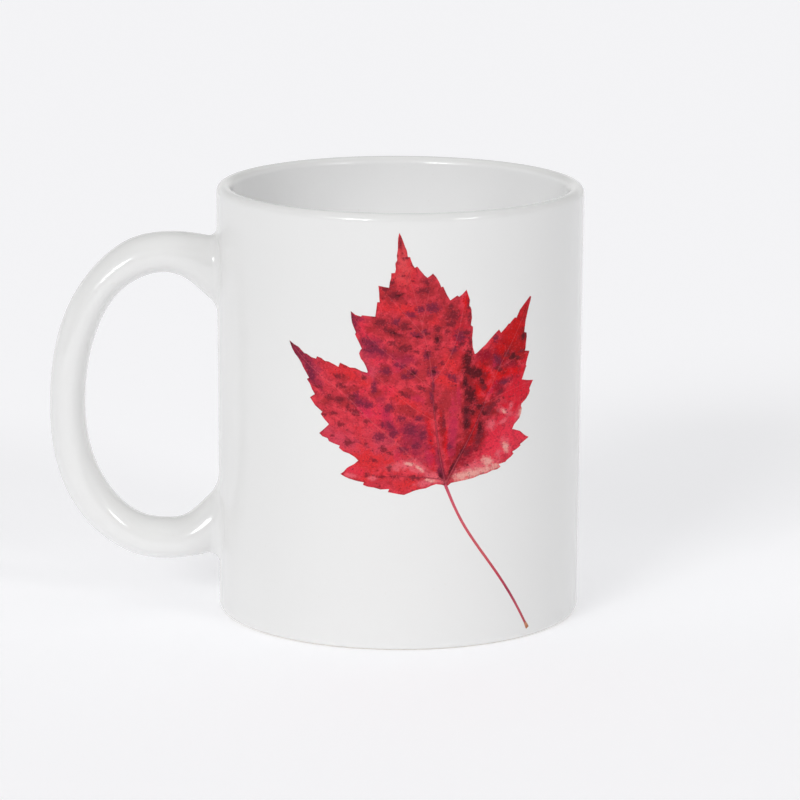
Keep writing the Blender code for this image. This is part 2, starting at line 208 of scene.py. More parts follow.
# Broad washes of colour and then smaller patches, ordered from the lower coat to the upper. Each is
# across, up, half length, half width, and the turn of the length from level in degrees.
WASHES = {
    "warm_red": (
        (-9.0, 43.5, 8.0, 4.5, 10), (-12.5, 61.8, 5.5, 1.6, -12), (-5.6, 79.0, 1.4, 1.2, 0),
        (-2.5, 76.3, 4.5, 1.5, -12), (-1.5, 85.5, 6.0, 2.2, 98), (0.0, 55.0, 5.0, 1.5, -30),
        (9.0, 64.0, 3.0, 2.4, 60), (8.5, 59.5, 3.0, 1.4, -35), (-0.5, 37.5, 2.6, 1.6, 0),
        (5.5, 73.5, 1.4, 1.8, 0), (-9.8, 60.5, 2.0, 1.5, -40),
    ),
    "crimson": (
        (22.8, 47.0, 7.5, 4.2, 15), (-7.5, 53.0, 4.5, 2.2, 150), (-6.5, 64.0, 3.5, 1.2, -35),
        (-10.5, 58.0, 2.0, 0.8, 0), (-15.5, 47.0, 3.5, 1.2, -10), (-12.5, 40.2, 2.6, 0.9, 0),
        (-9.5, 71.0, 2.4, 1.4, -60), (-5.0, 58.0, 1.6, 1.2, 0), (19.0, 47.5, 3.0, 2.6, 0),
    ),
    "dusky": (
        (-14.6, 46.6, 4.2, 2.2, -15), (-8.2, 62.4, 2.6, 2.0, -20), (-22.2, 62.8, 4.2, 1.3, -45),
        (-6.0, 46.6, 3.4, 2.2, -20), (-18.6, 49.2, 2.6, 1.4, -30), (-9.8, 65.8, 1.8, 1.8, 0),
    ),
    "coral": (
        (-1.9, 87.0, 5.0, 1.5, 98),
    ),
    "ruby": (
        (26.0, 57.4, 5.2, 3.8, 70), (24.5, 61.0, 3.5, 1.6, 15), (21.6, 53.4, 2.2, 1.0, -10),
        (17.8, 57.6, 1.8, 1.0, 50), (27.6, 63.4, 1.6, 1.2, 0), (26.6, 66.4, 1.6, 1.0, 80),
        (28.0, 74.0, 2.4, 0.8, 75), (11.4, 71.2, 5.0, 1.7, 82), (19.4, 47.6, 3.4, 1.4, 60),
    ),
    "bright_crimson": (
        (21.6, 45.4, 7.5, 3.6, 15), (25.4, 46.8, 3.6, 1.6, -15), (24.4, 50.0, 1.6, 1.2, 0),
    ),
    "vivid_red": (
        (24.4, 70.2, 4.6, 2.2, 52), (26.8, 73.2, 3.2, 0.9, 57), (22.0, 67.4, 2.2, 1.6, 30),
        (26.0, 66.8, 1.4, 0.7, 10), (17.6, 61.0, 2.6, 1.1, 110), (15.7, 57.0, 2.6, 1.2, 110),
        (12.4, 77.6, 2.2, 0.8, 80), (14.0, 48.2, 4.2, 0.9, 76), (4.7, 47.0, 5.5, 0.7, 97),
        (8.2, 46.0, 4.0, 0.6, 97), (7.0, 53.2, 1.2, 0.5, 90), (22.5, 61.0, 3.4, 0.9, 0),
        (21.6, 66.0, 5.0, 3.0, 45), (16.8, 62.4, 2.0, 2.4, 0), (18.6, 57.6, 2.4, 1.4, 40),
        (24.8, 69.6, 6.2, 3.4, 54), (25.8, 66.0, 3.2, 2.8, 60), (20.4, 60.6, 2.6, 1.4, 20),
    ),
    "plum_wash": (
        (-25.3, 65.2, 3.6, 1.2, -45), (-21.8, 60.8, 3.4, 2.0, -60), (1.6, 47.6, 4.5, 2.6, 110),
        (-10.3, 55.6, 2.4, 0.9, -15), (-8.2, 67.6, 2.8, 1.9, -30), (-3.9, 50.0, 2.6, 1.1, 110),
        (4.9, 56.0, 2.4, 0.7, 92), (7.0, 41.0, 3.4, 0.7, 105), (-12.0, 73.0, 2.4, 0.9, 110),
        (9.4, 46.0, 3.6, 0.9, 85), (-3.0, 65.8, 2.2, 1.2, 0), (-7.4, 58.6, 0.8, 1.6, 0),
        (-5.0, 62.2, 1.2, 1.6, 0), (-0.8, 65.3, 2.4, 1.2, -10), (-10.6, 73.7, 1.4, 0.6, 0),
        (-22.0, 63.8, 2.0, 0.7, -15), (-6.0, 56.4, 1.1, 0.9, 0),
    ),
    "brown_wash": (
        (13.0, 57.4, 7.2, 1.7, 92), (14.2, 61.8, 2.8, 1.4, -30), (12.8, 50.5, 6.0, 1.3, 90),
        (16.4, 58.6, 2.0, 0.6, -45), (17.6, 63.1, 1.8, 0.6, -5), (7.1, 50.0, 3.0, 0.6, 95),
        (19.2, 52.3, 1.3, 0.8, 0), (14.4, 52.0, 0.9, 0.8, 0), (25.4, 66.9, 1.0, 0.5, 60),
        (11.2, 44.4, 5.5, 1.5, 66), (15.4, 46.8, 3.8, 1.5, 68), (15.2, 53.6, 2.6, 1.6, 60),
        (20.2, 63.6, 3.0, 1.6, -35), (24.4, 64.6, 2.8, 1.9, 10), (27.0, 68.0, 1.9, 1.3, 80),
        (18.0, 53.4, 2.2, 1.2, 35), (-3.4, 79.0, 1.4, 1.0, 0), (27.3, 73.4, 1.8, 0.6, 65),
        (8.4, 75.2, 1.2, 0.8, 80), (-3.8, 71.0, 1.8, 0.7, -15),
    ),
    "brick_wash": (
        (-3.2, 79.2, 3.0, 1.8, 0), (3.8, 79.8, 3.2, 2.2, 70), (-1.4, 72.6, 2.6, 1.8, -20),
        (-6.2, 73.2, 2.2, 1.4, 20), (-4.0, 70.6, 2.4, 1.0, -15), (8.6, 74.2, 3.2, 2.2, 80),
        (11.4, 70.6, 1.8, 1.4, 60), (-1.6, 67.6, 2.6, 1.6, 20), (2.8, 71.2, 2.2, 1.4, 20),
        (6.2, 70.2, 1.4, 1.8, 0), (-7.6, 71.2, 1.7, 0.8, -15), (-4.8, 69.8, 1.2, 0.5, 0),
        (3.4, 74.0, 2.6, 0.8, 5), (-2.6, 77.7, 2.4, 0.7, 5), (6.5, 79.8, 1.8, 1.0, -60),
        (-12.4, 58.1, 2.4, 0.7, 8), (-0.6, 53.6, 3.0, 1.2, -20), (5.9, 54.6, 1.8, 1.0, 40),
        (9.6, 66.0, 1.4, 1.2, 0), (-18.6, 55.2, 1.2, 0.8, 0), (-14.4, 60.2, 1.2, 0.8, 40),
        (-2.0, 90.0, 2.0, 0.4, 95), (4.6, 64.4, 2.2, 2.0, 30), (0.4, 61.6, 3.0, 1.2, -10),
        (-5.2, 61.8, 1.6, 1.8, 0), (0.8, 57.4, 2.2, 0.8, -30), (5.2, 76.2, 2.4, 1.2, 5),
        (-14.0, 55.2, 2.4, 1.2, 0), (4.8, 56.0, 3.0, 1.6, 92), (12.0, 73.4, 2.2, 1.2, 80),
        (8.4, 55.4, 2.8, 2.4, 80), (-7.0, 57.6, 1.6, 1.0, 0),
    ),
    "wine_wash": (
        (17.6, 65.4, 1.8, 0.8, 50), (19.4, 64.2, 2.0, 0.9, 80), (20.8, 57.4, 2.4, 0.9, 35),
        (22.2, 58.8, 2.4, 0.8, 10), (13.6, 43.6, 2.2, 1.0, 60), (22.6, 62.8, 2.2, 0.8, -15),
        (15.4, 65.2, 1.3, 0.8, 60), (21.3, 67.9, 1.3, 0.6, -45), (11.7, 42.3, 0.8, 0.5, 50),
    ),
}
PATCHES = {
    "scarlet": (
        (25.2, 69.8, 5.2, 2.2, 56), (22.0, 67.2, 2.4, 1.5, 30), (26.4, 66.2, 1.8, 1.6, 0),
        (27.0, 72.6, 2.4, 0.8, 65),
    ),
    "rose": (
        (9.6, 50.0, 6.0, 0.9, 87), (-9.2, 53.6, 1.8, 1.0, 150), (-5.0, 52.6, 2.0, 1.0, 120),
        (18.6, 57.4, 1.6, 0.5, 55), (19.3, 63.0, 0.9, 0.5, 90), (-2.4, 43.6, 1.2, 0.6, 110),
        (-2.6, 63.6, 1.0, 1.4, 30), (1.5, 56.3, 1.6, 0.8, -20), (-9.0, 62.4, 0.9, 0.8, 0),
        (10.8, 56.5, 0.6, 2.0, 0), (-24.0, 66.2, 1.4, 0.3, -30), (4.6, 43.2, 2.0, 0.7, 100),
    ),
    "pink": (
        (-1.0, 41.8, 2.8, 0.9, 12), (2.6, 41.0, 2.2, 0.7, -42), (15.5, 40.2, 4.5, 1.5, 10),
        (5.6, 38.8, 2.2, 0.9, -25), (-2.6, 40.8, 1.0, 0.6, 10), (1.0, 40.8, 1.2, 0.5, -30),
        (18.0, 41.4, 2.0, 1.0, -10), (22.5, 44.6, 1.0, 1.8, 20), (22.2, 52.2, 2.0, 0.55, -25),
        (18.7, 49.6, 1.0, 1.0, 0), (25.9, 51.2, 0.6, 1.6, -20), (3.6, 37.6, 2.2, 0.5, 10),
        (-12.8, 39.1, 1.6, 0.4, -8), (21.4, 50.0, 1.4, 0.4, 20), (20.6, 43.0, 1.0, 0.6, 40),
        (23.8, 53.2, 1.0, 0.5, 50), (-8.0, 38.7, 1.0, 0.5, 0),
    ),
    "cream": (
        (0.2, 42.0, 1.0, 0.3, -10), (2.2, 41.0, 1.2, 0.3, -42), (4.6, 38.2, 1.2, 0.3, -10),
        (11.6, 38.8, 1.7, 0.8, 12), (14.3, 39.2, 2.8, 0.9, 8), (17.8, 39.8, 2.2, 0.5, 5),
        (17.8, 41.6, 1.3, 0.8, -35), (19.8, 40.4, 1.0, 0.4, 10), (22.5, 44.2, 0.6, 1.0, 20),
        (21.8, 52.3, 0.8, 0.25, -35), (26.7, 51.3, 0.5, 1.3, -15),
    ),
    "plum": (
        (-26.4, 66.4, 1.6, 0.6, -45), (-24.9, 65.0, 2.2, 0.9, -45), (-22.4, 62.4, 1.7, 0.8, -55),
        (-21.8, 60.4, 1.4, 0.8, -60), (-12.3, 74.2, 1.0, 0.5, 115), (-11.9, 72.4, 0.7, 0.4, 100),
        (-8.9, 68.8, 1.4, 0.8, -25), (-7.2, 67.6, 1.8, 0.6, -48), (-6.0, 66.6, 0.9, 0.7, -10),
        (-8.4, 66.9, 1.2, 0.6, 0), (-2.6, 63.9, 0.8, 0.6, 0), (-1.5, 63.6, 0.8, 0.45, -20),
        (0.7, 62.0, 0.9, 1.0, 0), (-0.9, 61.3, 0.9, 0.6, 0), (5.1, 62.1, 1.0, 1.1, 0),
        (3.9, 65.9, 0.8, 0.9, 20), (9.5, 60.8, 1.3, 0.7, -35), (5.2, 59.3, 0.4, 0.8, 0),
        (4.9, 56.6, 1.4, 0.35, 100), (-4.3, 54.3, 0.9, 1.1, -15), (-10.8, 55.2, 1.4, 0.8, -10),
        (-8.8, 54.8, 1.2, 0.6, 15), (-11.6, 56.9, 0.7, 0.8, 0), (-4.0, 50.4, 0.9, 0.6, 105),
        (-3.4, 48.7, 1.0, 0.8, 0), (-6.3, 47.9, 1.4, 0.9, 15), (-5.6, 50.6, 0.9, 0.5, 0),
        (-1.4, 45.2, 1.1, 0.7, -30), (0.2, 49.4, 1.2, 1.2, 0), (1.4, 46.0, 1.0, 0.7, 10),
        (3.0, 48.5, 1.2, 0.8, 90), (4.9, 76.2, 1.6, 1.0, 5), (2.3, 75.8, 1.0, 0.7, 0),
        (0.2, 74.8, 1.3, 0.6, -20), (-2.8, 73.2, 0.8, 0.8, 0), (11.1, 69.6, 1.4, 1.3, 30),
        (9.7, 66.8, 0.8, 0.7, 20), (20.0, 63.9, 1.3, 0.8, 120), (19.6, 68.6, 1.0, 0.6, 90),
        (22.0, 58.8, 1.4, 0.5, 15), (6.9, 39.8, 1.4, 0.6, 110), (9.0, 45.6, 0.8, 0.5, 60),
        (1.6, 70.4, 1.4, 0.5, -15), (3.4, 71.0, 0.9, 0.5, 0), (-5.2, 62.4, 1.3, 0.7, 0),
        (-7.6, 58.6, 0.5, 1.2, 0), (2.2, 52.0, 0.8, 0.6, 0), (-1.6, 52.0, 0.9, 0.6, 20),
    ),
    "maroon": (
        (-3.8, 81.7, 0.7, 0.7, 0), (-5.2, 80.3, 1.0, 0.4, 10), (-3.1, 78.9, 1.5, 0.9, 0),
        (3.6, 81.8, 0.6, 0.7, 0), (3.0, 80.0, 1.6, 0.6, 10), (-1.0, 87.1, 0.7, 0.3, 0),
        (-1.3, 83.3, 0.4, 0.3, 0), (-6.0, 73.0, 1.5, 0.9, 0), (-2.0, 90.6, 0.3, 1.0, 0),
        (-4.6, 71.4, 1.4, 0.6, -10), (-2.6, 70.4, 1.5, 0.5, -15), (-1.0, 72.2, 1.1, 0.8, 0),
        (3.8, 70.6, 0.8, 0.4, 0), (6.0, 71.6, 0.7, 0.7, 0), (8.2, 70.8, 0.5, 0.5, 0),
        (9.4, 74.4, 1.3, 1.1, 0), (9.0, 72.6, 1.0, 0.6, 0), (9.0, 76.4, 0.7, 0.4, 90),
        (6.1, 69.2, 1.1, 0.7, 90), (6.0, 67.2, 0.5, 0.3, 0), (13.2, 73.6, 1.1, 0.45, 90),
        (13.0, 76.6, 0.9, 0.35, 90), (12.8, 70.4, 0.8, 0.6, 0), (13.4, 68.6, 1.0, 0.4, 90),
        (11.4, 67.9, 1.1, 0.5, 30), (-1.0, 67.4, 1.4, 0.8, 0), (-3.6, 68.6, 1.0, 0.5, 0),
        (2.6, 58.7, 0.9, 0.5, -20), (-0.8, 57.2, 1.4, 0.5, -28), (-15.4, 60.8, 1.1, 0.6, 0),
        (-14.9, 58.8, 0.9, 0.6, 0), (-12.6, 56.4, 0.8, 0.9, 20), (-17.5, 56.1, 1.0, 0.7, 0),
        (-15.3, 55.7, 1.1, 0.7, 20), (-13.4, 54.4, 0.4, 0.6, 0), (-11.6, 53.2, 1.1, 0.7, -10),
        (-20.0, 58.2, 1.2, 0.3, 0), (-15.0, 50.3, 0.9, 0.6, 0), (-9.2, 51.2, 0.7, 0.5, 0),
        (-13.2, 46.3, 1.0, 0.7, 0), (-9.5, 46.3, 0.7, 0.3, 0), (-17.0, 47.6, 0.5, 0.3, 0),
        (-18.9, 52.3, 0.5, 0.6, 0), (-16.6, 52.6, 0.9, 0.4, 0), (-5.7, 45.3, 0.8, 0.6, -30),
        (-4.4, 44.5, 0.9, 0.4, -30), (-7.4, 42.6, 0.8, 0.4, -15), (-4.2, 40.9, 0.8, 0.5, 100),
        (-9.2, 39.3, 0.6, 0.4, 0), (-6.1, 39.1, 1.2, 0.3, -5), (-3.0, 39.0, 0.9, 0.3, 0),
        (1.2, 38.9, 1.4, 0.5, 0), (12.4, 59.2, 1.6, 0.6, 95), (16.9, 58.0, 0.6, 0.6, 0),
        (12.7, 52.0, 3.0, 0.7, 90), (20.4, 61.9, 1.0, 0.5, -25), (22.6, 65.0, 0.9, 0.5, 30),
        (26.6, 65.0, 0.9, 0.3, 10), (28.7, 76.2, 0.5, 0.3, 50), (19.2, 54.0, 1.6, 0.6, 35),
        (17.9, 52.8, 1.2, 0.9, 20), (20.9, 56.6, 1.0, 0.5, 30), (15.8, 47.4, 2.6, 0.8, 70),
        (12.8, 44.0, 1.4, 0.6, 60), (7.6, 50.8, 1.7, 0.35, 95), (1.6, 66.6, 0.5, 0.4, 0),
        (7.2, 64.0, 0.5, 0.4, 0), (5.7, 54.2, 0.9, 0.5, 80), (-9.8, 60.8, 0.7, 0.5, 0),
    ),
    "char": (
        (12.8, 64.4, 2.4, 1.0, 86), (13.2, 62.0, 1.3, 1.0, 0), (15.0, 61.5, 1.7, 1.1, -15),
        (16.3, 59.8, 1.1, 0.5, 105), (13.7, 56.5, 2.0, 1.1, 110), (12.6, 53.3, 0.9, 0.8, 0),
        (14.1, 53.0, 0.9, 0.5, 90), (12.7, 50.3, 1.0, 0.8, 90), (15.9, 53.8, 0.8, 0.6, 0),
        (16.8, 52.5, 0.6, 0.5, 0), (15.9, 49.6, 1.3, 0.6, 80), (9.5, 41.0, 1.8, 0.35, 60),
        (11.6, 44.0, 1.4, 0.35, 62), (0.5, 82.1, 0.4, 0.25, 0), (7.0, 39.2, 1.0, 0.35, 110),
        (-26.9, 66.9, 0.8, 0.3, -50), (-12.6, 74.8, 0.5, 0.35, 110), (27.1, 68.4, 0.8, 0.6, 60),
        (24.0, 64.2, 1.1, 0.6, 20), (0.8, 61.9, 0.5, 0.5, 0), (25.6, 63.6, 0.8, 0.4, 0),
        (22.4, 52.6, 0.25, 0.25, 0), (13.0, 41.2, 0.3, 0.25, 0), (-19.8, 48.0, 0.4, 0.2, 0),
        (12.4, 59.6, 1.0, 0.5, 95), (2.0, 69.9, 0.9, 0.25, -10), (4.0, 66.2, 0.5, 0.5, 0),
        (5.2, 62.2, 0.5, 0.5, 0), (-3.6, 70.9, 1.0, 0.25, -15), (6.0, 69.2, 0.4, 0.6, 0),
        (-2.4, 79.0, 0.8, 0.3, 20),
    ),
}

# The stalk, from the leaf's base down to its cut end, and the length in mm of the steps along it
STALK = (
    (8.0, 37.2), (9.3, 34.0), (11.8, 28.8), (18.3, 19.25), (24.4, 10.7), (27.8, 5.3), (29.6, 2.3),
)
STALK_STEP = 0.4
STALK_SIDES = 12
STALK_LIFT = PRINT_LIFT * 1.5
STALK_HALF_WIDTH = 0.31 * MM
KNOB_HALF_WIDTH = 0.46 * MM
# Shares of the stalk's length where its neck ends and where its knob starts and is full, and how
# much wider the neck is than the rest
NECK_END = 0.12
KNOB_START = 0.955
KNOB_FULL = 0.985
NECK_SWELL = 0.15

# Camera, fitted to the mug's outlines in the photograph. It turns about a pivot on the body's axis.
CAMERA_PIVOT = Vector((BODY_X, 0.0, 47.5 * MM))
CAMERA_DISTANCE = 914.4 * MM
CAMERA_TURN = radians(-3.0)
CAMERA_RISE = radians(12.4)
CAMERA_ROLL = radians(0.288)
CAMERA_LENS = 182.75
CAMERA_SENSOR = 36.0
CAMERA_AIM = Vector((BODY_X + 0.18 * MM, 0.0, 47.13 * MM))
CAMERA_NEAR = 0.05
CAMERA_FAR = 30.0

# Studio light as far panels, in degrees: turn of the middle from the front towards +X, its rise,
# half width, half height, width of the soft edge, and the strength
LIGHT_PANELS = (
    (-30.5, 23.5, 9.0, 6.0, 4.0, 15.0),
    (-44.0, 24.0, 8.0, 5.0, 5.0, 3.0),
    (41.0, 26.0, 7.5, 4.0, 2.5, 12.5),
    (-35.0, 38.0, 25.0, 16.0, 12.0, 0.3),
    (6.0, 35.0, 70.0, 16.0, 12.0, 0.47),
    (180.0, 30.0, 90.0, 30.0, 20.0, 0.47),
    (180.0, 2.0, 90.0, 12.0, 16.0, 0.47),
    (0.0, 90.0, 270.0, 30.0, 20.0, 0.94),
)

FLOOR_HALF_SIZE = 4.0
FLOOR_DROP = 0.02 * MM
FLOOR_LOOK = {
    "Base Color": (0.80, 0.80, 0.815, 1.0),
    "Roughness": 0.9,
    "Specular IOR Level": 0.0,
    "Emission Color": (1.0, 1.0, 1.02, 1.0),
    "Emission Strength": 0.318,
}


def linear(red, green, blue):
    """A colour given by its three 0 to 255 values, as the shaders read it."""
    channels = [value / 255 for value in (red, green, blue)]
    bright = [c / 12.92 if c <= 0.04045 else ((c + 0.055) / 1.055) ** 2.4 for c in channels]
    return (*bright, 1.0)


class Nodes:
    """Short calls that add nodes to one tree and join them."""

    def __init__(self, tree):
        self.tree = tree

    def add(self, kind, *values, **settings):
        """A node with its settings, and its inputs fed in order. None leaves one as it is."""
        node = self.tree.nodes.new(kind)
        for name, value in settings.items():
            setattr(node, name, value)
        for socket, value in zip(node.inputs, values):
            self.feed(socket, value)
        return node

    def feed(self, socket, value):
        if isinstance(value, bpy.types.NodeSocket):
            self.tree.links.new(value, socket)
        elif value is not None:
            socket.default_value = value

    def math(self, operation, *values):
        return self.add("ShaderNodeMath", *values, operation=operation).outputs[0]

    def ramp(self, value, low, high):
        """0 at low and 1 at high, with a soft start and end."""
        node = self.add("ShaderNodeMapRange", value, low, high, 0.0, 1.0,
                        interpolation_type="SMOOTHSTEP")
        return node.outputs[0]

    def mix(self, factor, first, second):
        """One colour changing to another. A Mix node's colour sockets have these numbers."""
        node = self.add("ShaderNodeMix", factor, data_type="RGBA")
        self.feed(node.inputs[6], first)
        self.feed(node.inputs[7], second)
        return node.outputs[2]

    def coat(self, colour, mask, strength, upper):
        """A colour with another laid over it where its mask is."""
        return self.mix(self.math("MULTIPLY", mask, strength), colour, upper)

    def noise(self, place, size, detail=2.0, roughness=0.5, distortion=0.0):
        """A cloudy noise whose largest clouds have the size."""
        node = self.add("ShaderNodeTexNoise", place)
        self.feed(node.inputs["Roughness"], roughness)
        self.feed(node.inputs["Scale"], self.math("DIVIDE", 1.0, size))
        self.feed(node.inputs["Detail"], detail)
        self.feed(node.inputs["Distortion"], distortion)
        return node.outputs[0]

    def bump(self, height, distance, strength=1.0):
        """A normal for a height of 0 to 1 that rises by a distance."""
        node = self.add("ShaderNodeBump", strength, distance)
        self.feed(node.inputs["Height"], height)
        return node.outputs[0]

    def attribute(self, name):
        return self.add("ShaderNodeAttribute", attribute_name=name)

    def group(self, tree, **values):
        """A node group with its inputs fed by name: half_width feeds Half Width."""
        node = self.add(self.tree.bl_idname.replace("Tree", "Group"), node_tree=tree)
        for name, value in values.items():
            self.feed(node.inputs[name.replace("_", " ").title()], value)
        return node


def new_group(name, kind, inputs, outputs):
    """A node group with its sockets, and its input and output nodes."""
    tree = bpy.data.node_groups.new(name, kind)
    for socket_name, socket_kind in inputs:
        tree.interface.new_socket(name=socket_name, in_out="INPUT", socket_type=socket_kind)
    for socket_name, socket_kind in outputs:
        tree.interface.new_socket(name=socket_name, in_out="OUTPUT", socket_type=socket_kind)
    nodes = Nodes(tree)
    return nodes, nodes.add("NodeGroupInput").outputs, nodes.add("NodeGroupOutput").inputs


FLOAT = "NodeSocketFloat"
VECTOR = "NodeSocketVector"
GEOMETRY = "NodeSocketGeometry"
MATERIAL = "NodeSocketMaterial"


# Shader groups

def ripple_group():
    """Gentle waves of a fired glaze: a normal, and a roughness that drifts with them."""
    inputs = (("Place", VECTOR), ("Wave", FLOAT), ("Height", FLOAT), ("Gloss", FLOAT),
              ("Drift", FLOAT))
    outputs = (("Normal", VECTOR), ("Roughness", FLOAT))
    nodes, given, result = new_group("glaze_ripple", "ShaderNodeTree", inputs, outputs)
    waves = nodes.noise(given["Place"], given["Wave"], detail=1.0)
    nodes.feed(result["Normal"], nodes.bump(waves, given["Height"]))
    drift = nodes.math("MULTIPLY", nodes.math("SUBTRACT", waves, 0.5), given["Drift"])
    nodes.feed(result["Roughness"], nodes.math("ADD", given["Gloss"], drift))
    return nodes.tree


def ragged_group():
    """A soft mask broken into grains: they gather where it is strong, over an even wash of it."""
    inputs = (("Mask", FLOAT), ("Place", VECTOR), ("Grain", FLOAT), ("Ragged", FLOAT),
              ("Soft", FLOAT), ("Under", FLOAT))
    nodes, given, result = new_group("ragged_edge", "ShaderNodeTree", inputs, (("Mask", FLOAT),))
    noise = nodes.noise(given["Place"], given["Grain"], detail=5.0, roughness=0.62)
    shift = nodes.math("MULTIPLY", nodes.math("SUBTRACT", noise, 0.5), given["Ragged"])
    low = nodes.math("SUBTRACT", 0.5, given["Soft"])
    high = nodes.math("ADD", 0.5, given["Soft"])
    grains = nodes.ramp(nodes.math("ADD", given["Mask"], shift), low, high)
    # nothing shows where the mask itself is near nothing
    grains = nodes.math("MULTIPLY", grains, nodes.ramp(given["Mask"], low=0.0, high=0.35))
    under = nodes.math("MULTIPLY", nodes.ramp(given["Mask"], low=0.1, high=0.9), given["Under"])
    nodes.feed(result["Mask"], nodes.math("MAXIMUM", grains, under))
    return nodes.tree


def speckle_group():
    """Fine grains: how far a noise lies past a threshold."""
    inputs = (("Place", VECTOR), ("Grain", FLOAT), ("Low", FLOAT), ("High", FLOAT))
    nodes, given, result = new_group("speckle", "ShaderNodeTree", inputs, (("Mask", FLOAT),))
    noise = nodes.noise(given["Place"], given["Grain"], detail=1.0)
    nodes.feed(result["Mask"], nodes.ramp(noise, given["Low"], given["High"]))
    return nodes.tree


# Materials

# The glaze's waves, its roughness where it is white and where it is printed, how far that drifts,
# and the weaker shine of the print
WAVE_LENGTH = 9 * MM
WAVE_HEIGHT = 0.006 * MM
GLAZE_ROUGHNESS = 0.085
PRINT_ROUGHNESS = 0.10
ROUGHNESS_DRIFT = 0.02
PRINT_SPECULAR = 0.12

# The glaze is painted whiter on the inner wall, as painted light on the mug's shaded inside: the
# radii where that starts and where it is full
INSIDE_PAINTED_LIGHT_START = RIM_RADIUS - 0.85 * LIP_WALL
INSIDE_PAINTED_LIGHT_FULL = RIM_RADIUS - 1.02 * LIP_WALL
# Its faint clouds and its few specks
GLAZE_CLOUD = 30 * MM
GLAZE_SPECK = 0.9 * MM
SPECK_STRENGTH = 0.2

# The clay's grains, which are rougher than what lies between them, and its wider scuffs
CLAY_GRAIN = 0.25 * MM
CLAY_RELIEF = 0.05 * MM
RELIEF_STRENGTH = 0.6
CLAY_ROUGHNESS = 0.77
GRAIN_ROUGHNESS = 0.19
CLAY_SCUFF = 5 * MM
SCUFF_STRENGTH = 0.4


def new_material(name):
    material = bpy.data.materials.new(name)
    material.use_nodes = True
    nodes = Nodes(material.node_tree)
    return material, nodes, material.node_tree.nodes["Principled BSDF"].inputs


def object_place(nodes):
    """Where a point of the piece lies, in metres."""
    return nodes.add("ShaderNodeTexCoord").outputs["Object"]


def fired_gloss(nodes, shader, groups, roughness):
    """The glaze's gentle waves and gloss, alike on the white and on the print."""
    ripple = nodes.group(groups["ripple"], place=object_place(nodes), wave=WAVE_LENGTH,
                         height=WAVE_HEIGHT, gloss=roughness, drift=ROUGHNESS_DRIFT)
    nodes.feed(shader["Roughness"], ripple.outputs["Roughness"])
    nodes.feed(shader["Normal"], ripple.outputs["Normal"])


def glaze_material(groups):
    """White glaze with a few specks, painted whiter inside the mug as painted light on its shaded
    inside.
    """
    material, nodes, shader = new_material("white_glaze")
    place = object_place(nodes)
    cloud = nodes.ramp(nodes.noise(place, GLAZE_CLOUD, detail=1.0), low=0.3, high=0.7)
    speck = nodes.group(groups["speckle"], place=place, grain=GLAZE_SPECK, low=0.74, high=0.82)
    across, depth, _ = nodes.add("ShaderNodeSeparateXYZ", place).outputs
    reach = nodes.math("SUBTRACT", across, BODY_X)
    squares = [nodes.math("MULTIPLY", side, side) for side in (reach, depth)]
    radius = nodes.math("SQRT", nodes.math("ADD", *squares))
    tint = nodes.mix(cloud, linear(239, 239, 238), linear(240, 240, 239))
    # painted light: the inner wall is painted whiter than the outer, which brightens the shaded
    # inside
    tint = nodes.mix(nodes.ramp(radius, INSIDE_PAINTED_LIGHT_START, INSIDE_PAINTED_LIGHT_FULL), tint, linear(254, 254, 254))
    tint = nodes.coat(tint, speck.outputs[0], SPECK_STRENGTH, linear(228, 225, 219))
    nodes.feed(shader["Base Color"], tint)
    fired_gloss(nodes, shader, groups, GLAZE_ROUGHNESS)
    return material


def bare_foot_material(groups):
    """Unglazed ring that the mug stands on: dry, finely grained clay."""
    material, nodes, shader = new_material("bare_clay")
    place = object_place(nodes)
    grain = nodes.group(groups["speckle"], place=place, grain=CLAY_GRAIN, low=0.35, high=0.65)
    scuff = nodes.ramp(nodes.noise(place, CLAY_SCUFF, detail=4.0), low=0.45, high=0.7)
    colour = nodes.mix(grain.outputs[0], linear(220, 216, 208), linear(232, 229, 223))
    colour = nodes.coat(colour, scuff, SCUFF_STRENGTH, linear(198, 193, 186))
    roughness = nodes.math("MULTIPLY_ADD", grain.outputs[0], GRAIN_ROUGHNESS, CLAY_ROUGHNESS)
    nodes.feed(shader["Base Color"], colour)
    nodes.feed(shader["Roughness"], roughness)
    nodes.feed(shader["Normal"], nodes.bump(grain.outputs[0], CLAY_RELIEF, RELIEF_STRENGTH))
    return material


# The print as it looks from the front: each ink allows for the light and for the gloss's pale veil
PRINT_LIGHT = 0.885
GLOSS_VEIL = 0.009


def ink(red, green, blue):
    """The print's own colour for the 0 to 255 values that it shows."""
    channels = [max(0.0, (c - GLOSS_VEIL) / PRINT_LIGHT) for c in linear(red, green, blue)[:3]]
    return (*channels, 1.0)


INKS = {
    "base_red": ink(196, 56, 68),
    "light_red": ink(221, 66, 78),
    "dark_red": ink(150, 44, 56),
    "warm_red": ink(214, 50, 54),
    "crimson": ink(222, 54, 74),
    "dusky": ink(203, 69, 87),
    "coral": ink(214, 78, 83),
    "ruby": ink(214, 32, 50),
    "bright_crimson": ink(227, 55, 75),
    "vivid_red": ink(210, 10, 14),
    "plum_wash": ink(152, 44, 68),
    "brown_wash": ink(142, 32, 36),
    "brick_wash": ink(168, 48, 54),
    "wine_wash": ink(142, 26, 44),
    "scarlet": ink(172, 12, 16),
    "rose": ink(196, 48, 80),
    "pink": ink(224, 104, 116),
    "cream": ink(228, 166, 156),
    "plum": ink(114, 40, 62),
    "maroon": ink(112, 38, 48),
    "char": ink(72, 28, 34),
    "pale_vein": ink(222, 96, 104),
    "dark_vein": ink(96, 34, 48),
}

# The mottling under and over the washes: the size of its clouds in mm, and its strength
LIGHT_MOTTLE = 2.6
LIGHT_STRENGTH = 0.85
DARK_MOTTLE = 1.1
DARK_STRENGTH = 0.5

# The darker rim: where it starts and is full, in mm from the edge, and the clouds that break it
RIM_REACH = 0.5
RIM_FULL = 0.05
RIM_CLOUD = 2.2
RIM_STRENGTH = 0.5

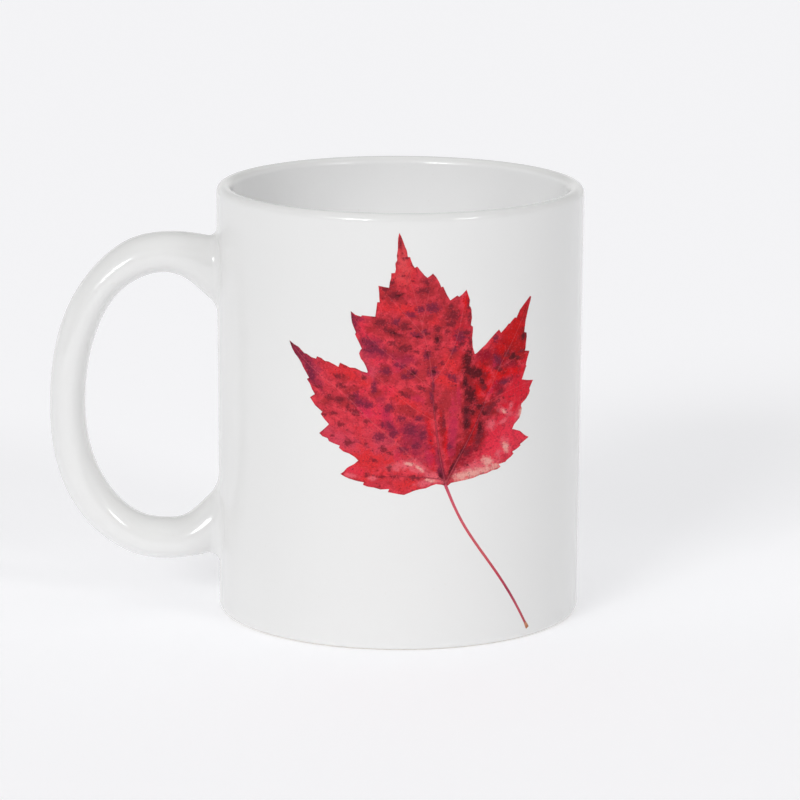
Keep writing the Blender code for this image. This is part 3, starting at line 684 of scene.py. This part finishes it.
# How each wash and patch is put on: the size of its grains in mm, how far they break its edge, how
# soft the grains are, how much of it is an even wash under them, and its strength
WASH_LOOK = (2.2, 2.2, 0.4, 0.0, 0.9)
PATCH_LOOKS = {
    "scarlet": (1.6, 2.0, 0.35, 0.5, 0.6),
    "rose": (1.4, 2.0, 0.35, 0.5, 0.6),
    "pink": (1.2, 1.8, 0.40, 0.4, 0.72),
    "cream": (0.9, 1.8, 0.35, 0.3, 0.85),
    "plum": (0.6, 2.2, 0.25, 0.45, 0.84),
    "maroon": (0.6, 2.3, 0.25, 0.4, 0.82),
    "char": (0.7, 1.8, 0.25, 0.45, 0.88),
}

# The fine specks over it all: their size in mm, where their noise starts and is full, and their
# strength and ink
SPECKS = (
    (0.36, 0.46, 0.70, 0.20, "maroon"),
    (0.42, 0.56, 0.76, 0.20, "pink"),
    (0.55, 0.65, 0.74, 0.60, "char"),
)

# Each line drawn along the veins: its mask, its ink, how far it reaches and where it is full, in the
# vein's own width, and its strength
VEIN_LINES = (
    ("pale_vein", "pale_vein", 1.3, 0.3, 0.22),
    ("dark_vein", "dark_vein", 2.0, 0.6, 0.55),
    ("dark_vein", "pale_vein", 0.7, 0.0, 0.30),
)

# The stalk's ink at shares of its length, and the specks over it
STALK_INKS = (
    (0.0, ink(192, 80, 100)), (0.12, ink(206, 92, 106)), (0.45, ink(204, 94, 102)),
    (0.62, ink(192, 76, 92)), (0.72, ink(164, 62, 84)), (0.86, ink(192, 88, 102)),
    (0.955, ink(182, 84, 92)), (0.975, ink(204, 146, 112)), (1.0, ink(168, 104, 76)),
)
STALK_SPECK = 0.8 * MM
STALK_SPECK_STRENGTH = 0.12


def leaf_material(groups):
    """Autumn leaf: mottled red, washes, ragged patches, veins, a darker rim and a fine speckle."""
    material, nodes, shader = new_material("leaf_print")
    place = nodes.attribute("flat_place").outputs["Vector"]

    def drawn(name):
        return nodes.attribute(name).outputs["Fac"]

    def painted(colour, name, look):
        """A colour with one ink over it, put on in its own drawn places."""
        grain, ragged, soft, under, strength = look
        mask = nodes.group(groups["ragged"], mask=drawn(name), place=place, grain=grain,
                           ragged=ragged, soft=soft, under=under)
        return nodes.coat(colour, mask.outputs[0], strength, INKS[name])

    light = nodes.ramp(nodes.noise(place, LIGHT_MOTTLE, detail=4.0), low=0.42, high=0.60)
    dark = nodes.noise(place, DARK_MOTTLE, detail=5.0, roughness=0.6, distortion=0.6)
    dark = nodes.ramp(dark, low=0.50, high=0.64)
    colour = nodes.coat(INKS["base_red"], light, LIGHT_STRENGTH, INKS["light_red"])
    for name in WASHES:
        colour = painted(colour, name, WASH_LOOK)
    colour = nodes.coat(colour, dark, DARK_STRENGTH, INKS["dark_red"])
    for name, look in PATCH_LOOKS.items():
        colour = painted(colour, name, look)
    for name, ink_name, reach, near, strength in VEIN_LINES:
        nearness = nodes.ramp(drawn(name), reach, near)
        colour = nodes.coat(colour, nearness, strength, INKS[ink_name])
    uneven = nodes.ramp(nodes.noise(place, RIM_CLOUD, detail=3.0), low=0.42, high=0.62)
    rim = nodes.math("MULTIPLY", nodes.ramp(drawn("rim"), RIM_REACH, RIM_FULL), uneven)
    colour = nodes.coat(colour, rim, RIM_STRENGTH, INKS["maroon"])
    for grain, low, high, strength, name in SPECKS:
        speck = nodes.group(groups["speckle"], place=place, grain=grain, low=low, high=high)
        colour = nodes.coat(colour, speck.outputs[0], strength, INKS[name])
    nodes.feed(shader["Base Color"], colour)
    fired_gloss(nodes, shader, groups, PRINT_ROUGHNESS)
    nodes.feed(shader["Specular IOR Level"], PRINT_SPECULAR)
    return material


def stalk_material(groups):
    """Dusky pink stalk, darker in places, with a tan cut end."""
    material, nodes, shader = new_material("stalk_print")
    ramp = nodes.add("ShaderNodeValToRGB", nodes.attribute("along").outputs["Fac"])
    elements = ramp.color_ramp.elements
    first, *between, last = STALK_INKS
    elements[0].color = first[1]
    elements[1].color = last[1]
    for position, colour in between:
        elements.new(position).color = colour
    speck = nodes.group(groups["speckle"], place=object_place(nodes), grain=STALK_SPECK,
                        low=0.4, high=0.7)
    colour = nodes.coat(ramp.outputs[0], speck.outputs[0], STALK_SPECK_STRENGTH, INKS["maroon"])
    nodes.feed(shader["Base Color"], colour)
    fired_gloss(nodes, shader, groups, PRINT_ROUGHNESS)
    nodes.feed(shader["Specular IOR Level"], PRINT_SPECULAR)
    return material


# The mug's surface

def wall_radius(z):
    """Radius of the outer wall, which widens slightly from the base to the rim."""
    return BASE_RADIUS + (RIM_RADIUS - BASE_RADIUS) * z / BODY_HEIGHT


def arc(centre, radius, start, end, steps):
    """Points (r, z) along an arc, angles in degrees from the +r direction towards +z."""
    angles = np.radians(np.linspace(start, end, steps + 1))
    return [(centre[0] + radius * cos(a), centre[1] + radius * sin(a)) for a in angles]


def lower_profile():
    """Underside, from inside the recess out to the foot ring and up its outer corner."""
    ring_outer = wall_radius(0) - BASE_CORNER
    ring_inner = ring_outer - FOOT_RING_WIDTH
    recess_edge = ring_inner - RECESS_SLOPE
    recess = [(recess_edge * share, FOOT_RECESS) for share in RECESS_RINGS]
    slope = [(ring_inner - RECESS_SLOPE * inwards, FOOT_RECESS * up) for inwards, up in SLOPE_POINTS]
    corner = arc((ring_outer, BASE_CORNER), BASE_CORNER, -90, 0, BASE_CORNER_STEPS)
    return recess + slope + [(ring_inner, 0.0)] + corner


def upper_profile():
    """Lip, inner wall and inner floor, from the outer wall's top edge inwards."""
    lip_radius = LIP_WALL / 2
    lip_centre = (RIM_RADIUS - lip_radius, BODY_HEIGHT - lip_radius)
    lip = arc(lip_centre, lip_radius, 0, 180, LIP_STEPS)
    corner_radius = wall_radius(INNER_FLOOR) - LOWER_WALL - INNER_CORNER
    corner_centre = (corner_radius, INNER_FLOOR + INNER_CORNER)
    corner = arc(corner_centre, INNER_CORNER, 0, -90, INNER_CORNER_STEPS)
    floor = [(corner_radius * share, INNER_FLOOR) for share in FLOOR_RINGS]
    return lip + corner + floor


def lengths(vectors):
    return np.linalg.norm(vectors, axis=1)


def unit(vectors):
    return vectors / lengths(vectors)[:, None]


def distances_along(points):
    """How far along their line each of the points lies."""
    return np.concatenate([[0.0], np.cumsum(lengths(np.diff(points, axis=0)))])


def natural_spline(knots, values, at):
    """Smooth curve through values at knots, with no bend at its two ends."""
    count = len(knots)
    gaps = np.diff(knots)
    slopes = np.diff(values, axis=0) / gaps[:, None]
    matrix = np.eye(count)
    bends = np.zeros_like(values)
    for i in range(1, count - 1):
        matrix[i, i - 1:i + 2] = gaps[i - 1], 2 * (gaps[i - 1] + gaps[i]), gaps[i]
        bends[i] = 6 * (slopes[i] - slopes[i - 1])
    bends = np.linalg.solve(matrix, bends)
    k = np.clip(np.searchsorted(knots, at, side="right") - 1, 0, count - 2)
    gap = gaps[k][:, None]
    low = (knots[k + 1] - at)[:, None]
    high = (at - knots[k])[:, None]
    cubic = (bends[k] * low**3 + bends[k + 1] * high**3) / (6 * gap)
    line = (values[k] / gap - bends[k] * gap / 6) * low
    return cubic + line + (values[k + 1] / gap - bends[k + 1] * gap / 6) * high


def smooth_path(points, step):
    """Points on a smooth curve through a few, about a step apart."""
    points = np.array(points, dtype=float)
    knots = distances_along(points)
    count = max(2, int(round(knots[-1] / step)) + 1)
    return natural_spline(knots, points, np.linspace(0, knots[-1], count))


class Handle:
    """The handle's skin as rails: lines along it, one for each angle round its oval section."""

    def __init__(self, rails):
        self.stations = np.array(HANDLE_STATIONS) * MM
        self.knots = distances_along(self.stations.mean(axis=1))
        self.length = self.knots[-1]
        turn = 2 * pi * np.arange(rails) / rails
        self.across = np.cos(turn)
        self.along = np.sin(turn)

    def points(self, places):
        """One point on each rail, at that rail's own place: (reach, sideways, height)."""
        outer = natural_spline(self.knots, self.stations[:, 0], places)
        inner = natural_spline(self.knots, self.stations[:, 1], places)
        middle = (outer + inner) / 2
        half = (outer - inner) / 2
        reach_height = middle + half * self.along[:, None]
        sideways = HANDLE_HALF_WIDTH * self.across
        return np.column_stack([reach_height[:, 0], sideways, reach_height[:, 1]])

    def places_at_wall(self, inside, outside):
        """Where each rail passes through the outer wall, found by halving."""
        low = np.full(len(self.along), inside)
        high = np.full(len(self.along), outside)
        for _ in range(HALVINGS):
            middle = (low + high) / 2
            p = self.points(middle)
            outwards = np.hypot(p[:, 0], p[:, 1]) > wall_radius(p[:, 2])
            high = np.where(outwards, middle, high)
            low = np.where(outwards, low, middle)
        return high

    def root(self, inside, outside, fillet):
        """The fillet's loops from the wall outwards, and where its rails leave it."""
        towards = np.sign(outside - inside)
        meet = self.places_at_wall(inside, outside)
        corner = self.points(meet)
        nearby = self.points(meet + towards * fillet)
        leave = meet + towards * fillet**2 / lengths(nearby - corner)
        start = self.points(leave)
        ring = np.roll(corner, -1, axis=0) - np.roll(corner, 1, axis=0)
        facing = np.cross(start - corner, ring) * -towards
        wall = unit(corner * (1, 1, 0))
        spread = unit(facing - (facing * wall).sum(axis=1)[:, None] * wall)
        end = onto_wall(corner + fillet * spread)
        # each rail turns into the wall along an arc from its start to its end
        turn = (unit(corner - start) * unit(end - corner)).sum(axis=1)
        pull = np.sqrt((1 + turn) / 2)[:, None]
        loops = []
        for t in np.linspace(0, 1, FILLET_STEPS + 1):
            shares = (1 - t) ** 2, 2 * pull * t * (1 - t), t**2
            arc_point = end * shares[0] + corner * shares[1] + start * shares[2]
            loops.append(arc_point / sum(shares))
        return loops, leave

    def skin(self):
        """All loops from the upper root's fillet to the lower one's."""
        middle = self.length / 2
        upper, upper_leave = self.root(0.0, middle, UPPER_FILLET)
        lower, lower_leave = self.root(self.length, middle, LOWER_FILLET)
        upper_mean = upper_leave.mean()
        lower_mean = lower_leave.mean()
        loops = upper
        for step in range(1, HANDLE_STEPS):
            share = step / HANDLE_STEPS
            place = upper_mean + (lower_mean - upper_mean) * share
            near_upper = max(0.0, 1 - share / SLANT_SHARE) ** 2
            near_lower = max(0.0, 1 - (1 - share) / SLANT_SHARE) ** 2
            slant = (upper_leave - upper_mean) * near_upper
            slant += (lower_leave - lower_mean) * near_lower
            loops.append(self.points(place + slant))
        return loops + lower[::-1]


def onto_wall(points):
    """Move points sideways onto the outer wall, keeping their height and direction."""
    radius = np.hypot(points[:, 0], points[:, 1])
    scale = wall_radius(points[:, 2]) / radius
    return points * np.column_stack([scale, scale, np.ones_like(scale)])


class Surface:
    """Collects the mug's points in the body's own frame: (reach, sideways, height)."""

    def __init__(self):
        self.mesh = bmesh.new()

    def point(self, reach, sideways, height):
        return self.mesh.verts.new((BODY_X - reach, sideways, height))

    def ring(self, radius, height):
        turn = 2 * pi / SEGMENTS
        return [self.point(radius * cos(i * turn), radius * sin(i * turn), height)
                for i in range(SEGMENTS)]

    def loop(self, points):
        return [self.point(*p) for p in points]

    def face(self, corners):
        self.mesh.faces.new(corners)

    def bridge(self, loops, skip=0):
        """Close the strip from each loop to the next, but for a few faces at both its ends."""
        for first, second in zip(loops, loops[1:]):
            for i in range(skip, len(first) - skip):
                j = (i + 1) % len(first)
                self.face((first[i], first[j], second[j], second[i]))

    def cap(self, loop, height):
        """Close a ring with a fan to a point on the axis."""
        tip = self.point(0.0, 0.0, height)
        for i in range(len(loop)):
            self.face((loop[i], loop[(i + 1) % len(loop)], tip))

    def finish(self, name, materials):
        """The mesh as an object: the second material covers what lies below the bare height."""
        bmesh.ops.recalc_face_normals(self.mesh, faces=self.mesh.faces)
        for face in self.mesh.faces:
            bare = all(v.co.z <= BARE_HEIGHT for v in face.verts)
            face.material_index = 1 if bare else 0
        mesh = bpy.data.meshes.new(name)
        self.mesh.to_mesh(mesh)
        self.mesh.free()
        for material in materials:
            mesh.materials.append(material)
        return add_piece(name, mesh)


def add_object(name, data):
    """An object that shows some data in the scene."""
    thing = bpy.data.objects.new(name, data)
    bpy.context.scene.collection.objects.link(thing)
    return thing


def add_piece(name, mesh):
    """A mesh as a piece, smooth but for its sharp edges."""
    piece = add_object(name, mesh)
    mesh.shade_smooth()
    mesh.set_sharp_from_angle(angle=SMOOTH_ANGLE)
    return piece


def collar_heights(root_loop):
    """Heights of the rows across one root's collar, a margin past the fillet each way."""
    bottom = root_loop[:, 2].min() - COLLAR_MARGIN
    top = root_loop[:, 2].max() + COLLAR_MARGIN
    return np.linspace(bottom, top, COLLAR_ROWS + 1)


def collar_edge(rings, columns):
    """The collar's edge points in the order of the rails, from the middle of its +Y side.

    The rings come in the order in which the handle's outer side lies, so the lower collar's are
    given from the top down.
    """
    half = COLLAR_ROWS // 2
    right = [rings[row][columns] for row in range(half, COLLAR_ROWS)]
    top = [rings[COLLAR_ROWS][c] for c in range(columns, -columns, -1)]
    left = [rings[row][-columns] for row in range(COLLAR_ROWS, 0, -1)]
    bottom = [rings[0][c] for c in range(-columns, columns)]
    start = [rings[row][columns] for row in range(0, half)]
    return right + top + left + bottom + start


def join_collar(surface, edge, root_loop):
    """Fill the wall between a collar's edge and the foot of the fillet, point for point."""
    place = np.array([v.co for v in edge])
    place[:, 0] = BODY_X - place[:, 0]
    last = edge
    for step in range(1, COLLAR_RINGS):
        share = step / COLLAR_RINGS
        blend = onto_wall(place * (1 - share) + root_loop * share)
        ring = surface.loop(blend)
        surface.bridge((last, ring))
        last = ring
    return last


def make_mug(materials):
    """The mug as one closed surface: its turned body, a collar round each root, and its handle."""
    surface = Surface()
    rails = 2 * (2 * COLLAR_HALF_COLUMNS + COLLAR_ROWS)
    skin = Handle(rails).skin()

    below = [surface.ring(r, z) for r, z in lower_profile()]
    surface.cap(below[0], FOOT_RECESS)
    above = [surface.ring(r, z) for r, z in upper_profile()]
    surface.cap(above[-1], INNER_FLOOR)
    lower_rows = [surface.ring(wall_radius(z), z) for z in collar_heights(skin[-1])]
    upper_rows = [surface.ring(wall_radius(z), z) for z in collar_heights(skin[0])]

    # plain bands run all the way round, and the rows beside a collar stop at its two sides
    between = ((below[-1], lower_rows[0]), (lower_rows[-1], upper_rows[0]),
               (upper_rows[-1], above[0]))
    for band in (below, above, *between):
        surface.bridge(band)
    side = COLLAR_HALF_COLUMNS
    for rows in (lower_rows, upper_rows):
        surface.bridge(rows, skip=side)

    # the handle's skin, from the upper collar to the lower one
    loops = [surface.loop(p) for p in skin]
    upper_edge = collar_edge(upper_rows, side)
    lower_edge = collar_edge(lower_rows[::-1], side)
    surface.bridge((join_collar(surface, upper_edge, skin[0]), loops[0]))
    surface.bridge((join_collar(surface, lower_edge, skin[-1]), loops[-1]))
    surface.bridge(loops)

    # points inside the collars belong to no face
    loose = [v for v in surface.mesh.verts if not v.link_faces]
    bmesh.ops.delete(surface.mesh, geom=loose, context="VERTS")
    return surface.finish("mug_glazed", materials)


# The print

def distance_to_lines(points, starts, ends, widths):
    """Each point's distance to the nearest of some short lines, in that line's own width."""
    nearest = np.full(len(points), np.inf)
    for start, end, width in zip(starts, ends, widths):
        run = end - start
        share = np.clip(((points - start) @ run) / (run @ run), 0, 1)
        gap = lengths(points - start - share[:, None] * run)
        nearest = np.minimum(nearest, gap / width)
    return nearest


def inside_outline(points, outline):
    """Which points lie inside a closed outline."""
    inside = np.zeros(len(points), dtype=bool)
    for (x0, y0), (x1, y1) in zip(outline, np.roll(outline, -1, axis=0)):
        # a level edge is crossed nowhere, so what its rise is taken as doesn't matter
        crosses = (y0 > points[:, 1]) != (y1 > points[:, 1])
        at = x0 + (points[:, 1] - y0) * (x1 - x0) / (y1 - y0 if y1 != y0 else 1.0)
        inside ^= crosses & (points[:, 0] < at)
    return inside


def triangle_grid(low, high, step):
    """Points of a grid of equal triangles over a rectangle."""
    rows = np.arange(low[1], high[1], step * sin(pi / 3))
    points = []
    for index, up in enumerate(rows):
        start = low[0] + (step / 2 if index % 2 else 0.0)
        points += [(across, up) for across in np.arange(start, high[0], step)]
    return np.array(points)


def patch_mask(points, patches):
    """How deep each point lies in the nearest patch: 1 well inside, a half at its edge."""
    mask = np.zeros(len(points))
    for across, up, half_length, half_width, turn in patches:
        c, s = cos(radians(turn)), sin(radians(turn))
        offset = points - (across, up)
        along = (offset[:, 0] * c + offset[:, 1] * s) / half_length
        side = (offset[:, 1] * c - offset[:, 0] * s) / half_width
        mask = np.maximum(mask, np.clip(1 - np.hypot(along, side) / 2, 0, 1))
    return mask


def vein_lines(veins):
    """Every vein as short straight lines, thinning from its start to its end."""
    starts, ends, widths = [], [], []
    for half_width, route in veins:
        path = smooth_path(route, VEIN_STEP)
        starts += list(path[:-1])
        ends += list(path[1:])
        widths += list(np.linspace(half_width, half_width * VEIN_TAPER, len(path) - 1))
    return starts, ends, widths


def flat_leaf(material):
    """The leaf as a flat sheet of triangles, with its colour masks stored on its points."""
    outline = np.array(LEAF_OUTLINE)
    pale, dark = vein_lines(PALE_VEINS), vein_lines(DARK_VEINS)
    grid = triangle_grid(outline.min(axis=0), outline.max(axis=0), PRINT_GRID)
    grid = grid[inside_outline(grid, outline)]
    edges = (list(outline), list(np.roll(outline, -1, axis=0)), [1.0] * len(outline))
    for starts, ends, _ in (edges, pale, dark):
        grid = grid[distance_to_lines(grid, starts, ends, [1.0] * len(starts)) > PRINT_CLEARANCE]
    vein_points = np.array(pale[0] + dark[0])
    keep = inside_outline(vein_points, outline)
    keep &= distance_to_lines(vein_points, *edges) > PRINT_CLEARANCE
    points = np.concatenate([outline, vein_points[keep], grid])
    corners = [Vector(p) for p in points]
    rim = [list(range(len(outline)))]
    # 1 keeps only the faces inside the outline
    flat, _, faces, *_ = delaunay_2d_cdt(corners, [], rim, 1, POINT_TOLERANCE)
    place = np.array([tuple(p) for p in flat])

    mesh = bpy.data.meshes.new("leaf_print")
    mesh.from_pydata([(p[0] * MM, 0.0, p[1] * MM) for p in place], [], faces)
    mesh.materials.append(material)
    store(mesh, "flat_place", np.column_stack([place, np.zeros(len(place))]), "FLOAT_VECTOR")
    store(mesh, "pale_vein", distance_to_lines(place, *pale))
    store(mesh, "dark_vein", distance_to_lines(place, *dark))
    store(mesh, "rim", distance_to_lines(place, *edges))
    for name, patches in {**WASHES, **PATCHES}.items():
        store(mesh, name, patch_mask(place, patches))
    return add_piece("leaf_print", mesh)


def store(mesh, name, values, kind="FLOAT"):
    """Values on a mesh's points, for the materials to read."""
    attribute = mesh.attributes.new(name, kind, "POINT")
    field = "vector" if kind == "FLOAT_VECTOR" else "value"
    attribute.data.foreach_set(field, np.ascontiguousarray(values, dtype=np.float32).ravel())


WALL_SIZES = {
    "Axis X": BODY_X,
    "Print Radius": PRINT_RADIUS,
    "Base Radius": BASE_RADIUS,
    "Rim Radius": RIM_RADIUS,
    "Body Height": BODY_HEIGHT,
}


def new_shape_tree(name, *inputs):
    """A tree that takes a geometry, its own inputs and the wall's sizes, and gives a geometry."""
    wall_inputs = [(size, FLOAT) for size in WALL_SIZES]
    geometry = [("Geometry", GEOMETRY)]
    return new_group(name, "GeometryNodeTree", geometry + list(inputs) + wall_inputs, geometry)


def wrap_tree():
    """Bends a flat print, in the XZ plane with its face towards -Y, round the wall."""
    nodes, given, result = new_shape_tree("wrap_round_wall")
    flat = nodes.add("ShaderNodeSeparateXYZ", nodes.add("GeometryNodeInputPosition").outputs[0])
    across, depth, up = flat.outputs
    lean = nodes.math("SUBTRACT", given["Rim Radius"], given["Base Radius"])
    share = nodes.math("DIVIDE", up, given["Body Height"])
    wall = nodes.math("MULTIPLY_ADD", lean, share, given["Base Radius"])
    radius = nodes.math("SUBTRACT", wall, depth)
    angle = nodes.math("DIVIDE", across, given["Print Radius"])
    x = nodes.math("MULTIPLY_ADD", radius, nodes.math("SINE", angle), given["Axis X"])
    y = nodes.math("MULTIPLY", nodes.math("MULTIPLY", radius, nodes.math("COSINE", angle)), -1.0)
    bent = nodes.add("ShaderNodeCombineXYZ", x, y, up)
    moved = nodes.add("GeometryNodeSetPosition", given["Geometry"], None, bent.outputs[0])
    nodes.feed(result["Geometry"], moved.outputs[0])
    return nodes.tree


def wrap(nodes, wrapper, geometry, given):
    """The wrapped geometry, with the wall's sizes passed on from the tree's own inputs."""
    group = nodes.group(wrapper, geometry=geometry)
    for name in WALL_SIZES:
        nodes.feed(group.inputs[name], given[name])
    return group.outputs[0]


def end_tree(nodes, geometry, material, result):
    """The tree's end: its shape made real and given its material."""
    real = nodes.add("GeometryNodeRealizeInstances", geometry).outputs[0]
    painted = nodes.add("GeometryNodeSetMaterial", real, None, material).outputs[0]
    nodes.feed(result["Geometry"], painted)


def skin_tree(wrapper):
    """Gives the flat leaf its thickness, closes its back and wraps it round the wall."""
    nodes, given, result = new_shape_tree("print_skin", ("Lift", FLOAT), ("Sink", FLOAT),
                                          ("Ink", MATERIAL))
    back_shift = nodes.add("ShaderNodeCombineXYZ", 0.0, given["Sink"], 0.0).outputs[0]
    back = nodes.add("GeometryNodeSetPosition", given["Geometry"], None, None, back_shift).outputs[0]
    depth = nodes.math("ADD", given["Lift"], given["Sink"])
    raised = nodes.add("GeometryNodeExtrudeMesh", back, None, None, depth, False)
    flipped = nodes.add("GeometryNodeFlipFaces", back).outputs[0]
    both = nodes.add("GeometryNodeJoinGeometry")
    nodes.feed(both.inputs[0], raised.outputs[0])
    nodes.feed(both.inputs[0], flipped)
    closed = nodes.add("GeometryNodeMergeByDistance", both.outputs[0], None, MERGE_DISTANCE)
    end_tree(nodes, wrap(nodes, wrapper, closed.outputs[0], given), given["Ink"], result)
    return nodes.tree


def stalk_tree(wrapper):
    """Sweeps a low bead along the stalk's line, wider at its cut end, and wraps it."""
    nodes, given, result = new_shape_tree("print_stalk", ("Half Width", FLOAT),
                                          ("Knob Half Width", FLOAT), ("Lift", FLOAT),
                                          ("Ink", MATERIAL))
    along = nodes.add("GeometryNodeSplineParameter").outputs["Factor"]
    tagged = nodes.add("GeometryNodeStoreNamedAttribute", given["Geometry"], None, "along", along,
                       data_type="FLOAT", domain="POINT").outputs[0]
    ring = nodes.add("GeometryNodeCurvePrimitiveCircle", STALK_SIDES, None, None, None, 1.0)
    knob = nodes.ramp(along, KNOB_START, KNOB_FULL)
    neck = nodes.ramp(along, NECK_END, 0.0)
    extra = nodes.math("SUBTRACT", given["Knob Half Width"], given["Half Width"])
    width = nodes.math("ADD", given["Half Width"], nodes.math("MULTIPLY", knob, extra))
    flare = nodes.math("MULTIPLY", nodes.math("MULTIPLY", neck, given["Half Width"]), NECK_SWELL)
    width = nodes.math("ADD", width, flare)
    bead = nodes.add("GeometryNodeCurveToMesh", tagged, ring.outputs[0], width, True).outputs[0]
    place = nodes.add("ShaderNodeSeparateXYZ", nodes.add("GeometryNodeInputPosition").outputs[0])
    flatness = nodes.math("DIVIDE", given["Lift"], given["Half Width"])
    depth = nodes.math("MULTIPLY", place.outputs[1], flatness)
    low = nodes.add("ShaderNodeCombineXYZ", place.outputs[0], depth, place.outputs[2]).outputs[0]
    pressed = nodes.add("GeometryNodeSetPosition", bead, None, low).outputs[0]
    end_tree(nodes, wrap(nodes, wrapper, pressed, given), given["Ink"], result)
    return nodes.tree


def grow(source, tree, values):
    """Runs a tree on an object and puts the plain mesh that it makes in the object's place."""
    modifier = source.modifiers.new("shape", "NODES")
    modifier.node_group = tree
    sockets = {item.name: item.identifier for item in tree.interface.items_tree
               if item.in_out == "INPUT"}
    for name, value in {**WALL_SIZES, **values}.items():
        modifier[sockets[name]] = value
    bpy.context.view_layer.update()
    evaluated = source.evaluated_get(bpy.context.evaluated_depsgraph_get())
    mesh = bpy.data.meshes.new_from_object(evaluated)
    name = source.name
    bpy.data.objects.remove(source, do_unlink=True)
    mesh.name = name
    return add_piece(name, mesh)


def make_leaf(wrapper, material):
    """The leaf's thin skin on the wall."""
    values = {"Lift": PRINT_LIFT, "Sink": PRINT_SINK, "Ink": material}
    return grow(flat_leaf(material), skin_tree(wrapper), values)


def make_stalk(wrapper, material):
    """The stalk's low bead on the wall, from a curve along its middle."""
    curve = bpy.data.curves.new("stalk_print", "CURVE")
    curve.dimensions = "3D"
    path = smooth_path(STALK, STALK_STEP)
    line = curve.splines.new("POLY")
    line.points.add(len(path) - 1)
    for point, (across, up) in zip(line.points, path):
        point.co = (across * MM, 0.0, up * MM, 1.0)
    values = {"Half Width": STALK_HALF_WIDTH, "Knob Half Width": KNOB_HALF_WIDTH,
              "Lift": STALK_LIFT, "Ink": material}
    return grow(add_object("stalk_print", curve), stalk_tree(wrapper), values)


# Studio

def make_camera():
    """A camera with a long lens, standing where the photograph's stood."""
    data = bpy.data.cameras.new("camera")
    data.lens = CAMERA_LENS
    data.sensor_width = CAMERA_SENSOR
    camera = add_object("camera", data)
    back = Vector((sin(CAMERA_TURN) * cos(CAMERA_RISE), -cos(CAMERA_TURN) * cos(CAMERA_RISE),
                   sin(CAMERA_RISE)))
    camera.location = CAMERA_PIVOT + back * CAMERA_DISTANCE
    look = (CAMERA_AIM - camera.location).to_track_quat("-Z", "Y")
    camera.rotation_mode = "QUATERNION"
    camera.rotation_quaternion = look @ Quaternion((0.0, 0.0, 1.0), CAMERA_ROLL)
    data.clip_start = CAMERA_NEAR
    data.clip_end = CAMERA_FAR
    bpy.context.scene.camera = camera


def make_floor():
    """A wide pale floor that glows slightly."""
    material, nodes, shader = new_material("studio_floor")
    for name, value in FLOOR_LOOK.items():
        nodes.feed(shader[name], value)
    mesh = bpy.data.meshes.new("floor")
    corners = [(x * FLOOR_HALF_SIZE, y * FLOOR_HALF_SIZE, -FLOOR_DROP)
               for x, y in ((-1, -1), (1, -1), (1, 1), (-1, 1))]
    mesh.from_pydata(corners, [], [(0, 1, 2, 3)])
    mesh.materials.append(material)
    floor = add_object("floor", mesh)


def panel_group():
    """A soft-edged panel of light, far off: 1 in the directions that it fills. Angles in degrees."""
    inputs = (("Turn", FLOAT), ("Rise", FLOAT), ("Middle Turn", FLOAT), ("Middle Rise", FLOAT),
              ("Half Width", FLOAT), ("Half Height", FLOAT), ("Edge", FLOAT))
    nodes, given, result = new_group("light_panel", "ShaderNodeTree", inputs, (("Mask", FLOAT),))
    around = nodes.math("SUBTRACT", given["Turn"], given["Middle Turn"])
    around = nodes.math("WRAP", around, 180.0, -180.0)
    above = nodes.math("SUBTRACT", given["Rise"], given["Middle Rise"])
    sides = []
    for offset, half in ((around, given["Half Width"]), (above, given["Half Height"])):
        outer = nodes.math("MULTIPLY_ADD", given["Edge"], 0.5, half)
        inner = nodes.math("MULTIPLY_ADD", given["Edge"], -0.5, half)
        sides.append(nodes.ramp(nodes.math("ABSOLUTE", offset), outer, inner))
    nodes.feed(result["Mask"], nodes.math("MULTIPLY", *sides))
    return nodes.tree


def make_light():
    """The world as the sum of the panels, by the direction that it is seen in."""
    world = bpy.data.worlds.new("studio")
    world.use_nodes = True
    nodes = Nodes(world.node_tree)
    direction = nodes.add("ShaderNodeTexCoord").outputs["Generated"]
    right, back, up = nodes.add("ShaderNodeSeparateXYZ", direction).outputs
    turn = nodes.math("DEGREES", nodes.math("ARCTAN2", right, nodes.math("MULTIPLY", back, -1.0)))
    rise = nodes.math("DEGREES", nodes.math("ARCSINE", up))
    panel = panel_group()
    total = 0.0
    for middle_turn, middle_rise, half_width, half_height, edge, strength in LIGHT_PANELS:
        mask = nodes.group(panel, turn=turn, rise=rise, middle_turn=middle_turn,
                           middle_rise=middle_rise, half_width=half_width,
                           half_height=half_height, edge=edge)
        total = nodes.math("MULTIPLY_ADD", mask.outputs[0], strength, total)
    background = world.node_tree.nodes["Background"]
    background.inputs["Color"].default_value = (1.0, 1.0, 1.0, 1.0)
    nodes.feed(background.inputs["Strength"], total)
    bpy.context.scene.world = world


def make_groups():
    return {"ripple": ripple_group(), "ragged": ragged_group(), "speckle": speckle_group()}


bpy.context.scene.view_settings.view_transform = "Standard"
make_camera()
make_floor()
make_light()
groups = make_groups()
wrapper = wrap_tree()
mug = make_mug([glaze_material(groups), bare_foot_material(groups)])
leaf = make_leaf(wrapper, leaf_material(groups))
stalk = make_stalk(wrapper, stalk_material(groups))

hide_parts("mug")
for piece, slot in ((mug, "glaze"), (leaf, "leaf_print"), (stalk, "leaf_print")):
    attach(piece, "root")
